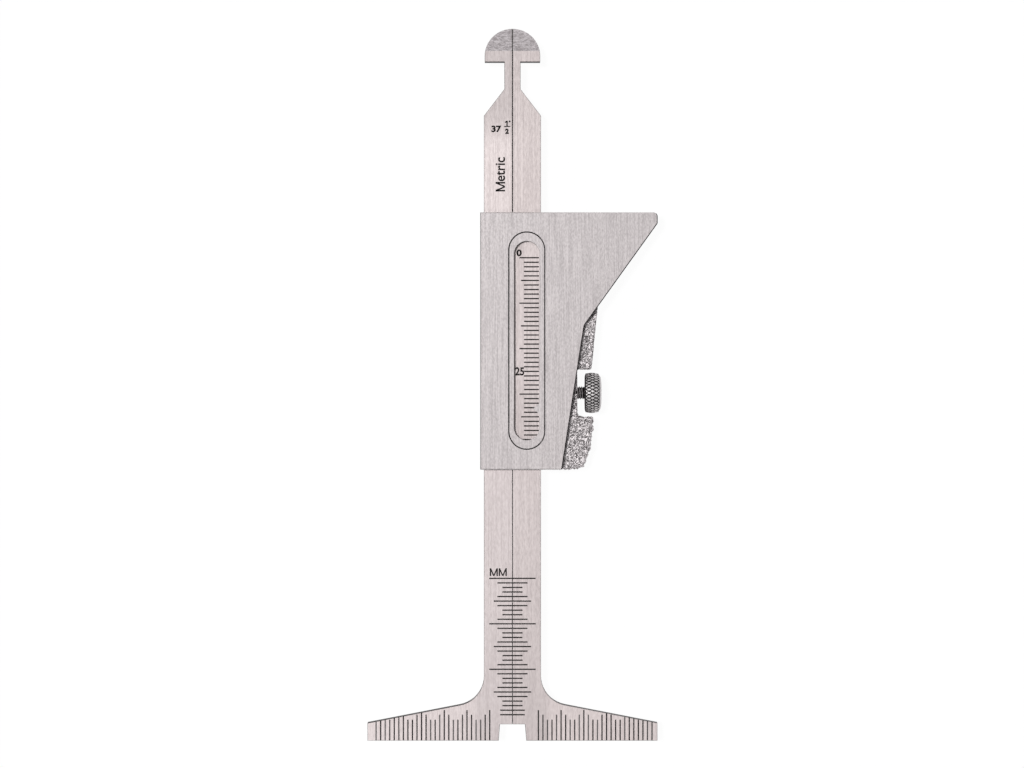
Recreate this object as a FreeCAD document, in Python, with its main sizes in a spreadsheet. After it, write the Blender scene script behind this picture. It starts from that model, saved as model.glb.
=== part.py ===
import FreeCAD, Part
import math
import os

import Sketcher
from FreeCAD import Vector

# Internal alignment gauge for butt-welded pipes. Two flat steel blades lie side by side in a
# cast housing and slide on their own. Each blade has half of a hooked head, which goes through
# the root gap and catches the inside of one pipe, and a long graduated foot for the outside.
# A ground face plate closes the channel, and its window and pointer show the wall scale.
# A knurled thumb screw presses a brass shoe against the blades and holds a reading.
#
# The gauge lies on its back. +Y runs from the feet to the head, +X to the right of the face,
# +Z out of the face. X = 0 is the joint line between the blades, and Y = 0 is mid-length.

SIZES = {
    # Blades
    "gauge_length": 156.74,
    "blade_width": 6.25,
    "blade_thickness": 2.4,
    "joint_gap": 0.04,
    "edge_break": 0.08,
    # Hooked head, ground to a bevel so that it enters the root gap
    "head_radius": 6.1,
    "head_cheek": 1.3,
    "head_bevel_run": 5.0,
    "head_bevel_depth": 1.1,
    "neck_width": 3.56,
    "neck_length": 6.0,
    "shoulder_angle": 37.5,
    # Feet
    "foot_reach": 31.9,
    "foot_tip_height": 3.85,
    "foot_slope": 11.0,
    "foot_fillet": 6.5,
    "notch_top_width": 5.5,
    "notch_mouth_width": 6.1,
    "notch_height": 3.6,
    # Graduations, one division a millimetre
    "division": 1.0,
    "line_width": 0.25,
    "line_depth": 0.1,
    "wall_scale_length": 40.0,
    "wall_scale_figure": 25.0,
    "wall_scale_edge": 5.8,
    "wall_line_short": 3.25,
    "wall_line_five": 3.9,
    "wall_line_ten": 4.25,
    "offset_scale_length": 30.0,
    "offset_scale_height": 35.7,
    "offset_line_short": 2.2,
    "offset_line_near": 3.3,
    "offset_line_five": 4.1,
    "offset_line_ten": 5.1,
    "offset_line_last": 2.7,
    "foot_scale_length": 25.0,
    "foot_scale_start": 5.0,
    "foot_scale_shift": 0.7,
    "foot_line_short": 4.6,
    "foot_line_near": 5.7,
    "foot_line_five": 6.7,
    # Housing, shared by the casting and the face plate
    "rest_opening": 33.2,
    "housing_height": 56.5,
    "side_wall": 0.77,
    "side_clearance": 0.04,
    "face_clearance": 0.05,
    "back_thickness": 3.9,
    # Face plate with its measuring arm
    "plate_thickness": 1.6,
    "plate_edge_break": 0.2,
    "arm_reach": 31.87,
    "arm_land": 2.45,
    "arm_tip_radius": 0.9,
    "arm_angle": 35.7,
    "waist_reach": 15.78,
    "waist_radius": 2.2,
    "plate_taper": 8.8,
    # Window, its engraved border and the pointer
    "window_centre": 3.14,
    "window_width": 5.63,
    "window_length": 43.74,
    "window_drop": 6.29,
    "border_width": 8.1,
    "border_length": 47.9,
    "border_line": 0.22,
    "border_depth": 0.15,
    "pointer_drop": 43.1,
    "pointer_length": 1.43,
    "pointer_base": 2.45,
    # Casting
    "cast_reach": 20.68,
    "cast_draft": 5.8,
    "bay_drop": 34.47,
    "bay_height": 10.32,
    "bay_wall": 14.29,
    "bay_radius": 0.6,
    "block_reach": 17.85,
    "block_radius": 3.6,
    "back_round": 0.55,
    # Thumb screw and clamp shoe
    "screw_drop": 1.7,
    "shank_diameter": 2.9,
    "bore_clearance": 0.05,
    "screw_standoff": 1.64,
    "knob_diameter": 9.0,
    "knob_length": 3.63,
    "knob_chamfer": 0.46,
    "relief_diameter": 2.4,
    "relief_length": 0.5,
    "nose_diameter": 1.5,
    "nose_length": 0.7,
    "nose_clearance": 0.05,
    "shoe_length": 1.3,
    "shoe_gap": 0.02,
    # Friction spring, a bowed leaf beside the right blade
    "spring_drop": 17.0,
    "spring_length": 12.0,
    "spring_rise": 0.6,
    "spring_thickness": 0.25,
    "spring_width": 2.0,
    "spring_gap": 0.03,
    "spring_play": 0.3,
}

SIDES = {"left_blade": -1, "right_blade": 1}

doc = FreeCAD.newDocument("weld_gauge")
sheet = doc.addObject("Spreadsheet::Sheet", "Sizes")
for row, (alias, size) in enumerate(SIZES.items(), start=1):
    sheet.set("A%d" % row, alias)
    sheet.set("B%d" % row, str(size))
    sheet.setAlias("B%d" % row, alias)
doc.recompute()


def of_sheet(text):
    """Expression with each bare size name turned into a reference to its cell."""
    for name in sorted(SIZES, key=len, reverse=True):
        text = text.replace("[%s]" % name, "Sizes.%s" % name)
    return text


def number(text):
    """Value of an expression as a plain number."""
    return float(sheet.evalExpression(of_sheet(text)))


# Places that several pieces share. Names in square brackets are cells of the sheet.
GAUGE_TOP = "([gauge_length] / 2)"
GAUGE_FOOT = "(-[gauge_length] / 2)"
BLADE_INNER = "([joint_gap] / 2)"
BLADE_OUTER = "(%s + [blade_width])" % BLADE_INNER
HOOK = "(%s - [head_radius] - [head_cheek])" % GAUGE_TOP
NECK_FOOT = "(%s - [neck_length])" % HOOK
SHOULDER_FALL = "((%s - [neck_width] / 2) / tan([shoulder_angle]))" % BLADE_OUTER
HOUSING_TOP = "(%s - [rest_opening])" % HOOK
HOUSING_FOOT = "(%s - [housing_height])" % HOUSING_TOP
CHANNEL_HALF = "(%s + [side_clearance])" % BLADE_OUTER
HOUSING_LEFT = "(-%s - [side_wall])" % CHANNEL_HALF
CHANNEL_DEPTH = "([blade_thickness] + 2 * [face_clearance])"
CAST_THICKNESS = "([back_thickness] + %s)" % CHANNEL_DEPTH
BLADE_FLOOR = "([back_thickness] + [face_clearance])"
BLADE_TOP = "(%s + [blade_thickness])" % BLADE_FLOOR
BAY_TOP = "(%s - [bay_drop])" % HOUSING_TOP
BAY_FOOT = "(%s - [bay_height])" % BAY_TOP
SCREW_Y = "(%s - [bay_height] / 2)" % BAY_TOP
SCREW_Z = "(%s - [screw_drop])" % CAST_THICKNESS
SHOE_FACE = "(%s + [shoe_gap])" % BLADE_OUTER


def new_body(name, lift="0", along="0"):
    """Body with its label, placed by expressions of the sheet."""
    body = doc.addObject("PartDesign::Body", name)
    body.Label = name
    for axis, text in (("y", along), ("z", lift)):
        body.setExpression(".Placement.Base.%s" % axis, of_sheet(text))
    return body


def new_sketch(body, name, level="0", plane="XY_Plane"):
    """Sketch on one of the body's own origin planes, lifted off it by level."""
    sketch = body.newObject("Sketcher::SketchObject", name)
    origin_plane = [f for f in body.Origin.OriginFeatures if f.Role == plane][0]
    sketch.AttachmentSupport = (origin_plane, "")
    sketch.MapMode = "FlatFace"
    sketch.setExpression(".AttachmentOffset.Base.z", of_sheet(level))
    return sketch


def bind(sketch, kind, geometry, point, text):
    """Distance of a sketch point from the origin along X or Y, tied to an expression."""
    index = sketch.addConstraint(
        Sketcher.Constraint(kind, -1, 1, geometry, point, number(text)))
    sketch.setExpression("Constraints[%d]" % index, of_sheet(text))


def add_outline(sketch, corners, arcs=None, loose=()):
    """Closed outline through corners, each an (x, y) pair of expressions.

    arcs maps the number of a corner to (centre x, centre y, turn) for the stretch that starts
    there, with turn 1 anticlockwise and -1 clockwise. loose holds (corner, axis) pairs that an
    arc already settles.
    """
    arcs = arcs or {}
    places = [Vector(number(x), number(y), 0) for x, y in corners]
    ends = []
    for index, start in enumerate(places):
        stop = places[(index + 1) % len(places)]
        if index not in arcs:
            geometry = sketch.addGeometry(Part.LineSegment(start, stop))
            ends.append((geometry, 1, 2))
            continue
        centre_x, centre_y, turn = arcs[index]
        centre = Vector(number(centre_x), number(centre_y), 0)
        first, last = (start, stop) if turn > 0 else (stop, start)
        circle = Part.Circle(centre, Vector(0, 0, 1), (first - centre).Length)
        geometry = sketch.addGeometry(
            Part.ArcOfCircle(circle, circle.parameter(first), circle.parameter(last)))
        ends.append((geometry, 1, 2) if turn > 0 else (geometry, 2, 1))
        bind(sketch, "DistanceX", geometry, 3, centre_x)
        bind(sketch, "DistanceY", geometry, 3, centre_y)
    for index, (geometry, start_point, stop_point) in enumerate(ends):
        following, following_start, _ = ends[(index + 1) % len(ends)]
        sketch.addConstraint(Sketcher.Constraint(
            "Coincident", geometry, stop_point, following, following_start))
        for axis, kind, text in (("x", "DistanceX", corners[index][0]),
                                 ("y", "DistanceY", corners[index][1])):
            if (index, axis) not in loose:
                bind(sketch, kind, geometry, start_point, text)


def add_box(sketch, left, right, low, high):
    """Rectangle in a sketch."""
    add_outline(sketch, [(left, low), (right, low), (right, high), (left, high)])


def add_racetrack(sketch, centre, width, low, high):
    """Slot with full round ends, standing along Y. width, low and high are expressions."""
    left = "(%s - %s / 2)" % (centre, width)
    right = "(%s + %s / 2)" % (centre, width)
    lower = "(%s + %s / 2)" % (low, width)
    upper = "(%s - %s / 2)" % (high, width)
    add_outline(
        sketch,
        [(right, lower), (right, upper), (left, upper), (left, lower)],
        arcs={1: (centre, upper, 1), 3: (centre, lower, 1)},
        loose={(2, "x"), (0, "x")})


def pad(body, sketch, length, symmetric=False):
    feature = body.newObject("PartDesign::Pad", sketch.Name + "_pad")
    feature.Profile = sketch
    feature.setExpression("Length", of_sheet(length))
    if symmetric:
        feature.SideType = "Symmetric"
    sketch.Visibility = False
    doc.recompute()
    return feature


def pocket(body, sketch, depth=None, symmetric=False):
    """Cut against the sketch's normal to a depth, or right through both ways."""
    before = body.Shape.Volume
    feature = body.newObject("PartDesign::Pocket", sketch.Name + "_pocket")
    feature.Profile = sketch
    if depth is None:
        feature.Type = "ThroughAll"
    else:
        feature.setExpression("Length", of_sheet(depth))
    if symmetric:
        feature.SideType = "Symmetric"
    sketch.Visibility = False
    doc.recompute()
    if body.Shape.Volume >= before:
        raise RuntimeError("%s removed nothing" % feature.Name)
    return feature


def revolve(body, sketch):
    """Full turn about the sketch's own X axis."""
    feature = body.newObject("PartDesign::Revolution", sketch.Name + "_turned")
    feature.Profile = sketch
    feature.ReferenceAxis = (sketch, ["H_Axis"])
    feature.Angle = 360
    sketch.Visibility = False
    doc.recompute()
    return feature


def dress(body, kind, edges, size):
    """Fillet or chamfer of named edges of the body's last feature."""
    base = body.Tip
    feature = body.newObject("PartDesign::" + kind, "%s_%s" % (base.Name, kind.lower()))
    feature.Base = (base, edges)
    feature.setExpression("Radius" if kind == "Fillet" else "Size", of_sheet(size))
    doc.recompute()
    return feature


def upright_edges(feature, corners):
    """Names of the edges parallel to Z that stand at the given corners."""
    places = [(number(x), number(y)) for x, y in corners]
    names = []
    for index, edge in enumerate(feature.Shape.Edges, start=1):
        first, last = edge.Vertexes[0].Point, edge.Vertexes[-1].Point
        if abs(first.x - last.x) > 1e-6 or abs(first.y - last.y) > 1e-6:
            continue
        if any(math.hypot(first.x - x, first.y - y) < 1e-4 for x, y in places):
            names.append("Edge%d" % index)
    return names


def rim_edges(feature, level):
    """Names of the outer edges of the largest flat face at a height."""
    height = number(level)
    flat = [face for face in feature.Shape.Faces
            if face.BoundBox.ZLength < 1e-6 and abs(face.BoundBox.ZMin - height) < 1e-6]
    rim = max(flat, key=lambda face: face.Area).OuterWire.Edges
    return ["Edge%d" % index for index, edge in enumerate(feature.Shape.Edges, start=1)
            if any(edge.isSame(other) for other in rim)]


def divisions(length):
    """Whole number of divisions in a length."""
    return int(round(length / SIZES["division"]))


def line_lengths(scale, short, near, five, ten, skip=()):
    """Length of each line of a scale, by the place of its number among the fives and tens."""
    lengths = []
    for place in range(divisions(scale) + 1):
        if place % 10 == 0:
            length = ten
        elif place % 5 == 0 and place not in skip:
            length = five
        else:
            length = near if place % 5 in (1, 4) else short
        lengths.append(length)
    return lengths


def groove(left, right, low, high):
    """Cutter for one graduation line in the blades' face, from two corners in X and Y."""
    floor = number(BLADE_TOP) - SIZES["line_depth"]
    return Part.makeBox(abs(right - left), high - low, 2 * SIZES["line_depth"],
                        Vector(min(left, right), low, floor))


def offset_scale(side):
    """Scale on both sides of the joint, which reads how far one blade is off the other."""
    zero = number(GAUGE_FOOT) + SIZES["offset_scale_height"]
    half = SIZES["line_width"] / 2
    lengths = line_lengths(
        SIZES["offset_scale_length"], SIZES["offset_line_short"], SIZES["offset_line_near"],
        SIZES["offset_line_five"], SIZES["offset_line_ten"])
    lengths[-2:] = [SIZES["offset_line_last"]] * 2
    cutters = []
    for place, length in enumerate(lengths):
        middle = zero - place * SIZES["division"]
        cutters.append(groove(0, side * length, middle - half, middle + half))
    return cutters


def foot_scale(side):
    """Scale along the foot, counted off the joint. The right one starts a little further out."""
    foot = number(GAUGE_FOOT)
    half = SIZES["line_width"] / 2
    start = SIZES["foot_scale_start"] + (SIZES["foot_scale_shift"] if side > 0 else 0)
    lengths = line_lengths(
        SIZES["foot_scale_length"], SIZES["foot_line_short"], SIZES["foot_line_near"],
        SIZES["foot_line_five"], SIZES["foot_line_five"])
    cutters = []
    for place, length in enumerate(lengths):
        middle = side * (start + place * SIZES["division"])
        cutters.append(groove(middle - half, middle + half, foot - half, foot + length))
    return cutters


def wall_scale():
    """Scale seen in the window: it reads the gap from the hook to the housing's top edge."""
    zero = number(HOOK) - SIZES["pointer_drop"]
    half = SIZES["line_width"] / 2
    edge = SIZES["wall_scale_edge"]
    lengths = line_lengths(
        SIZES["wall_scale_length"], SIZES["wall_line_short"], SIZES["wall_line_short"],
        SIZES["wall_line_five"], SIZES["wall_line_ten"],
        skip=[divisions(SIZES["wall_scale_figure"])])
    cutters = []
    for place, length in enumerate(lengths):
        middle = zero - place * SIZES["division"]
        cutters.append(groove(edge - length, edge, middle - half, middle + half))
    return cutters


def graduate(name, blank, cutters):
    """Blade with its graduation lines cut into the face."""
    lines = doc.addObject("Part::Feature", name + "_lines")
    lines.Shape = Part.makeCompound(cutters)
    blade = doc.addObject("Part::Cut", name)
    blade.Base = blank
    blade.Tool = lines
    blade.Label = name
    doc.recompute()
    if blade.Shape.Volume >= blank.Shape.Volume:
        raise RuntimeError("%s has no graduations" % name)
    return blade


def make_blade(name, side):
    """One sliding blade, with its half of the head and its own foot."""
    body = new_body(name + "_blank", lift=BLADE_FLOOR)
    x = "%d * " % side
    head_centre = "%s - [head_radius]" % GAUGE_TOP
    foot_root = (x + BLADE_OUTER,
                 "%s + [foot_tip_height] + ([foot_reach] - %s) * tan([foot_slope])"
                 % (GAUGE_FOOT, BLADE_OUTER))
    corners = [
        (x + BLADE_INNER, GAUGE_TOP),
        (x + BLADE_INNER, "%s + [notch_height]" % GAUGE_FOOT),
        (x + "[notch_top_width] / 2", "%s + [notch_height]" % GAUGE_FOOT),
        (x + "[notch_mouth_width] / 2", GAUGE_FOOT),
        (x + "[foot_reach]", GAUGE_FOOT),
        (x + "[foot_reach]", "%s + [foot_tip_height]" % GAUGE_FOOT),
        foot_root,
        (x + BLADE_OUTER, "%s - %s" % (NECK_FOOT, SHOULDER_FALL)),
        (x + "[neck_width] / 2", NECK_FOOT),
        (x + "[neck_width] / 2", HOOK),
        (x + "[head_radius]", HOOK),
        (x + "[head_radius]", head_centre),
    ]
    outline = new_sketch(body, name + "_outline")
    add_outline(outline, corners, arcs={len(corners) - 1: ("0", head_centre, side)},
                loose={(0, "y")})
    blank = pad(body, outline, "[blade_thickness]")
    rounded = dress(body, "Fillet", upright_edges(blank, [foot_root]), "[foot_fillet]")
    rims = rim_edges(rounded, "0") + rim_edges(rounded, "[blade_thickness]")
    dress(body, "Chamfer", rims, "[edge_break]")

    bevel = new_sketch(body, name + "_bevel", plane="YZ_Plane")
    bevel_start = "%s - [head_bevel_run]" % GAUGE_TOP
    past_top = "%s + [head_bevel_run]" % GAUGE_TOP
    add_outline(bevel, [
        (bevel_start, "[blade_thickness]"),
        (past_top, "[blade_thickness] - 2 * [head_bevel_depth]"),
        (past_top, "2 * [blade_thickness]"),
        (bevel_start, "2 * [blade_thickness]"),
    ])
    pocket(body, bevel, symmetric=True)

    cutters = offset_scale(side) + foot_scale(side)
    if side > 0:
        cutters += wall_scale()
    return graduate(name, body, cutters)


def make_face_plate():
    """Ground plate with the measuring arm, the window, its border line and the pointer."""
    body = new_body("face_plate", lift=CAST_THICKNESS)
    arm_land_foot = "(%s - [arm_land])" % HOUSING_TOP
    waist_y = "(%s - ([arm_reach] - [waist_reach]) / tan([arm_angle]))" % arm_land_foot
    taper = "([waist_reach] - (%s - %s) * tan([plate_taper]))" % (waist_y, HOUSING_FOOT)
    arm_top = ("[arm_reach]", HOUSING_TOP)
    arm_foot = ("[arm_reach]", arm_land_foot)
    waist = ("[waist_reach]", waist_y)
    outline = new_sketch(body, "plate_outline")
    add_outline(outline, [
        (HOUSING_LEFT, HOUSING_FOOT), (taper, HOUSING_FOOT), waist, arm_foot, arm_top,
        (HOUSING_LEFT, HOUSING_TOP),
    ])
    blank = pad(body, outline, "[plate_thickness]")
    rounded = dress(body, "Fillet", upright_edges(blank, [arm_top, arm_foot]),
                    "[arm_tip_radius]")
    rounded = dress(body, "Fillet", upright_edges(rounded, [waist]), "[waist_radius]")
    dress(body, "Chamfer", rim_edges(rounded, "[plate_thickness]"), "[plate_edge_break]")

    window_top = "(%s - [window_drop])" % HOUSING_TOP
    window_foot = "(%s - [window_length])" % window_top
    right = "([window_centre] + [window_width] / 2)"
    left = "([window_centre] - [window_width] / 2)"
    lower = "(%s + [window_width] / 2)" % window_foot
    upper = "(%s - [window_width] / 2)" % window_top
    pointer = "(%s - [pointer_drop])" % HOUSING_TOP
    window = new_sketch(body, "window", level="[plate_thickness]")
    add_outline(window, [
        (right, lower),
        (right, "%s - [pointer_base] / 2" % pointer),
        ("%s - [pointer_length]" % right, pointer),
        (right, "%s + [pointer_base] / 2" % pointer),
        (right, upper),
        (left, upper),
        (left, lower),
    ], arcs={4: ("[window_centre]", upper, 1), 6: ("[window_centre]", lower, 1)},
        loose={(5, "x"), (0, "x")})
    pocket(body, window)

    border_top = "(%s + ([border_length] - [window_length]) / 2)" % window_top
    border_foot = "(%s - [border_length])" % border_top
    border = new_sketch(body, "border", level="[plate_thickness]")
    add_racetrack(border, "[window_centre]", "[border_width]", border_foot, border_top)
    add_racetrack(border, "[window_centre]", "([border_width] - 2 * [border_line])",
                  "(%s + [border_line])" % border_foot, "(%s - [border_line])" % border_top)
    pocket(body, border, "[border_depth]")
    return body


def make_cast_body():
    """Casting with the channel for the blades, the bay of the screw and the spring's pocket."""
    body = new_body("cast_body")
    draft = "tan([cast_draft])"
    bay_top_outer = ("[cast_reach] - [bay_drop] * %s" % draft, BAY_TOP)
    bay_foot_outer = ("[block_reach]", BAY_FOOT)
    block_corner = ("[block_reach] - (%s - %s) * %s" % (BAY_FOOT, HOUSING_FOOT, draft),
                    HOUSING_FOOT)
    bay_inner = [("[bay_wall]", BAY_TOP), ("[bay_wall]", BAY_FOOT)]
    outline = new_sketch(body, "cast_outline")
    add_outline(outline, [
        (HOUSING_LEFT, HOUSING_FOOT), block_corner, bay_foot_outer, bay_inner[1],
        bay_inner[0], bay_top_outer, ("[cast_reach]", HOUSING_TOP),
        (HOUSING_LEFT, HOUSING_TOP),
    ])
    blank = pad(body, outline, CAST_THICKNESS)
    rounded = dress(body, "Fillet", upright_edges(blank, [block_corner]), "[block_radius]")
    corners = bay_inner + [bay_top_outer, bay_foot_outer]
    rounded = dress(body, "Fillet", upright_edges(rounded, corners), "[bay_radius]")
    dress(body, "Fillet", rim_edges(rounded, "0"), "[back_round]")

    channel = new_sketch(body, "channel", level=CAST_THICKNESS)
    overrun = "[side_wall]"
    add_box(channel, "-" + CHANNEL_HALF, CHANNEL_HALF,
            "%s - %s" % (HOUSING_FOOT, overrun), "%s + %s" % (HOUSING_TOP, overrun))
    pocket(body, channel, CHANNEL_DEPTH)

    spring_top = "(%s - [spring_drop])" % HOUSING_TOP
    nest = new_sketch(body, "spring_nest", level=CAST_THICKNESS)
    add_box(nest, "%s - [side_clearance]" % CHANNEL_HALF,
            "%s + [spring_gap] + [spring_rise] + [spring_thickness] + [face_clearance]"
            % BLADE_OUTER,
            "%s - [spring_length] - [spring_play]" % spring_top,
            "%s + [spring_play]" % spring_top)
    pocket(body, nest, CHANNEL_DEPTH)

    bore = new_sketch(body, "screw_bore", level="[bay_wall]", plane="YZ_Plane")
    bore_radius = "[shank_diameter] / 2 + [bore_clearance]"
    circle = bore.addGeometry(Part.Circle(
        Vector(number(SCREW_Y), number(SCREW_Z), 0), Vector(0, 0, 1), number(bore_radius)))
    bind(bore, "DistanceX", circle, 3, SCREW_Y)
    bind(bore, "DistanceY", circle, 3, SCREW_Z)
    radius = bore.addConstraint(Sketcher.Constraint("Radius", circle, number(bore_radius)))
    bore.setExpression("Constraints[%d]" % radius, of_sheet(bore_radius))
    pocket(body, bore, "[bay_wall] - %s + [side_clearance]" % CHANNEL_HALF)
    return body


def make_thumb_screw():
    """Turned screw: nose, threaded shank, relief and knurled knob, axis along X."""
    body = new_body("thumb_screw", lift=SCREW_Z, along=SCREW_Y)
    shoe_back = "(%s + [shoe_length])" % SHOE_FACE
    shank_tip = "(%s + [shoe_gap])" % shoe_back
    nose_tip = "(%s - [nose_length])" % shank_tip
    knob_face = "([bay_wall] + [screw_standoff])"
    knob_end = "(%s + [knob_length])" % knob_face
    relief_start = "(%s - [relief_length])" % knob_face
    sketch = new_sketch(body, "screw_profile")
    add_outline(sketch, [
        (nose_tip, "0"),
        (knob_end, "0"),
        (knob_end, "[knob_diameter] / 2 - [knob_chamfer]"),
        ("%s - [knob_chamfer]" % knob_end, "[knob_diameter] / 2"),
        ("%s + [knob_chamfer] / 2" % knob_face, "[knob_diameter] / 2"),
        (knob_face, "[knob_diameter] / 2 - [knob_chamfer] / 2"),
        (knob_face, "[relief_diameter] / 2"),
        (relief_start, "[relief_diameter] / 2"),
        (relief_start, "[shank_diameter] / 2"),
        (shank_tip, "[shank_diameter] / 2"),
        (shank_tip, "[nose_diameter] / 2"),
        (nose_tip, "[nose_diameter] / 2"),
    ])
    revolve(body, sketch)
    return body


def make_clamp_shoe():
    """Brass slug between the screw's nose and the right blade, axis along X."""
    body = new_body("clamp_shoe", lift=SCREW_Z, along=SCREW_Y)
    back = "(%s + [shoe_length])" % SHOE_FACE
    recess = "(%s - [nose_length])" % back
    recess_radius = "([nose_diameter] / 2 + [nose_clearance])"
    sketch = new_sketch(body, "shoe_profile")
    add_outline(sketch, [
        (SHOE_FACE, "0"), (recess, "0"), (recess, recess_radius), (back, recess_radius),
        (back, "[shank_diameter] / 2"), (SHOE_FACE, "[shank_diameter] / 2"),
    ])
    revolve(body, sketch)
    return body


def make_friction_spring():
    """Bowed leaf in its nest, its crest towards the right blade and its ends on the casting."""
    middle = "(%s - [spring_drop] - [spring_length] / 2)" % HOUSING_TOP
    body = new_body("friction_spring", along=middle,
                    lift="%s - %s / 2" % (CAST_THICKNESS, CHANNEL_DEPTH))
    crest = "(%s + [spring_gap])" % BLADE_OUTER
    outer_radius = "([spring_length]^2 / (8 * [spring_rise]) + [spring_rise] / 2)"
    inner_radius = "(%s - [spring_thickness])" % outer_radius
    centre = "(%s + %s)" % (crest, outer_radius)
    half = "([spring_length] / 2)"
    outer_end = "(%s + [spring_rise])" % crest
    inner_end = "(%s - sqrt(%s^2 - %s^2))" % (centre, inner_radius, half)
    sketch = new_sketch(body, "spring_arc")
    add_outline(sketch, [
        (inner_end, half), (outer_end, half), (outer_end, "-" + half), (inner_end, "-" + half),
    ], arcs={1: (centre, "0", 1), 3: (centre, "0", -1)}, loose={(2, "x"), (0, "x")})
    pad(body, sketch, "[spring_width]", symmetric=True)
    return body


pieces = [make_cast_body(), make_face_plate(), make_friction_spring()]
pieces += [make_blade(name, side) for name, side in SIDES.items()]
pieces += [make_clamp_shoe(), make_thumb_screw()]
doc.recompute()

for item in doc.Objects:
    if "Invalid" in item.State or "Error" in item.State:
        raise RuntimeError("%s failed: %s" % (item.Name, item.State))
for piece in pieces:
    if piece.Shape.isNull() or not piece.Shape.isValid():
        raise RuntimeError("%s has no valid shape" % piece.Label)

os.makedirs("parts", exist_ok=True)
for piece in pieces:
    piece.Shape.exportStep(os.path.join("parts", piece.Label + ".step"))
    box = piece.Shape.BoundBox
    print("%-16s %9.2f mm3  x %.2f..%.2f  y %.2f..%.2f  z %.2f..%.2f" % (
        piece.Label, piece.Shape.Volume, box.XMin, box.XMax, box.YMin, box.YMax,
        box.ZMin, box.ZMax))
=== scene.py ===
# %% [markdown]
# # A hooked-blade weld gauge
# This lesson dresses a steel gauge that welders use inside a pipe joint. Two flat ground blades
# slide side by side in a rough casting, a ground plate with a measuring arm closes the front,
# and a knurled thumb screw locks the blades.
#
# The exact shapes come from a CAD model, which is loaded first and stays where it is. The blades
# and the plate are already right, so they only get their metal. The casting and the screw are
# modelled anew here, because their looks lie in rough skin, knurl and thread. Black figures are
# laid on the blades last, and a light table with one soft lamp finishes the picture.

# %% Load the fixed frame
import math

import bpy
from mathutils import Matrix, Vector


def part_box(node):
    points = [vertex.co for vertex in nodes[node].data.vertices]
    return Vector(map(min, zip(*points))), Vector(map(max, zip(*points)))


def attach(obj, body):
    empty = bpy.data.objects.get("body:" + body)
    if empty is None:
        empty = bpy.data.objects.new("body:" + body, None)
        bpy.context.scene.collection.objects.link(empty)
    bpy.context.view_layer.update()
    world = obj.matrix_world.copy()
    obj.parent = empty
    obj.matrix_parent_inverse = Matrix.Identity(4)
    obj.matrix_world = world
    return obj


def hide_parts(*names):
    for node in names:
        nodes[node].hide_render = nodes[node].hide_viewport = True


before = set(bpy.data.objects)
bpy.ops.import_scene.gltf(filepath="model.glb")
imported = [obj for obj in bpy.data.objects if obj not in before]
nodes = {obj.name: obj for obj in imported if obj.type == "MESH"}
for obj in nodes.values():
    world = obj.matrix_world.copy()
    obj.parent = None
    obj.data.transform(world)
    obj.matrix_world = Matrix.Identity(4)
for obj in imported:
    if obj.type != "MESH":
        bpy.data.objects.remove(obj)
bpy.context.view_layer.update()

MM = 0.001
print("nodes:", ", ".join(sorted(nodes)))

# %% [markdown]
# ## Working as by hand
# Every piece below starts as one of Blender's primitives and is shaped with the same operators
# that a hand on the mouse would use. Operators act on what is selected, so three small helpers do
# the selecting: one takes a single object, one opens it with its whole mesh selected, and one
# picks faces, edges or corners by a rule about their place or the way they face. The loaded CAD
# pieces are selected after import, so everything is let go first.

# %% Select an object or parts of it
bpy.ops.object.select_all(action="DESELECT")


def leave_edit():
    """Back to object mode, where new objects are added."""
    if bpy.context.mode != "OBJECT":
        bpy.ops.object.mode_set(mode="OBJECT")


def take(piece):
    """Make one object the only selected and the active one."""
    leave_edit()
    bpy.ops.object.select_all(action="DESELECT")
    piece.select_set(True)
    bpy.context.view_layer.objects.active = piece
    return piece


def open_up(piece):
    """Enter edit mode with the whole mesh selected."""
    take(piece)
    bpy.ops.object.mode_set(mode="EDIT")
    bpy.ops.mesh.select_all(action="SELECT")


def pick(piece, kind, rule):
    """Enter edit mode with just those faces, edges or corners selected that follow the rule, and
    say how many they are."""
    take(piece)
    bpy.ops.object.mode_set(mode="EDIT")
    bpy.ops.mesh.select_mode(type=kind)
    bpy.ops.mesh.select_all(action="DESELECT")
    bpy.ops.object.mode_set(mode="OBJECT")
    parts = {"VERT": piece.data.vertices, "EDGE": piece.data.edges,
             "FACE": piece.data.polygons}[kind]
    chosen = 0
    for part in parts:
        part.select = bool(rule(part))
        chosen += part.select
    bpy.ops.object.mode_set(mode="EDIT")
    return chosen


def edge_ends(piece, edge):
    """The two corners of an edge."""
    return [piece.data.vertices[number].co for number in edge.vertices]


# %% Make a box, apply a modifier, cut with a solid
def modify(piece, kind, **values):
    """Add a modifier with its values and apply it at once."""
    take(piece)
    modifier = piece.modifiers.new(kind.lower(), kind)
    for name, value in values.items():
        setattr(modifier, name, value)
    bpy.ops.object.modifier_apply(modifier=modifier.name)
    return piece


def settle(piece, name):
    """Name a new piece and move its place, turn and scale into its mesh."""
    take(piece)
    piece.name = name
    piece.data.name = name
    bpy.ops.object.transform_apply(location=True, rotation=True, scale=True)
    return piece


def box(name, low, high):
    """Box between two corners in mm."""
    leave_edit()
    low, high = Vector(low), Vector(high)
    bpy.ops.mesh.primitive_cube_add(size=1, location=(low + high) / 2 * MM,
                                    scale=(high - low) * MM)
    return settle(bpy.context.active_object, name)


def cut(piece, tool, how="DIFFERENCE"):
    """Boolean with a second solid, which is used up."""
    modify(piece, "BOOLEAN", operation=how, solver="MANIFOLD", object=tool)
    bpy.data.objects.remove(tool)
    return piece


def count_faces(piece):
    """Print how many faces a piece has, and its size."""
    print("%s: %d faces, %s mm" % (
        piece.name, len(piece.data.polygons), [round(side / MM, 2) for side in piece.dimensions]))


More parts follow.
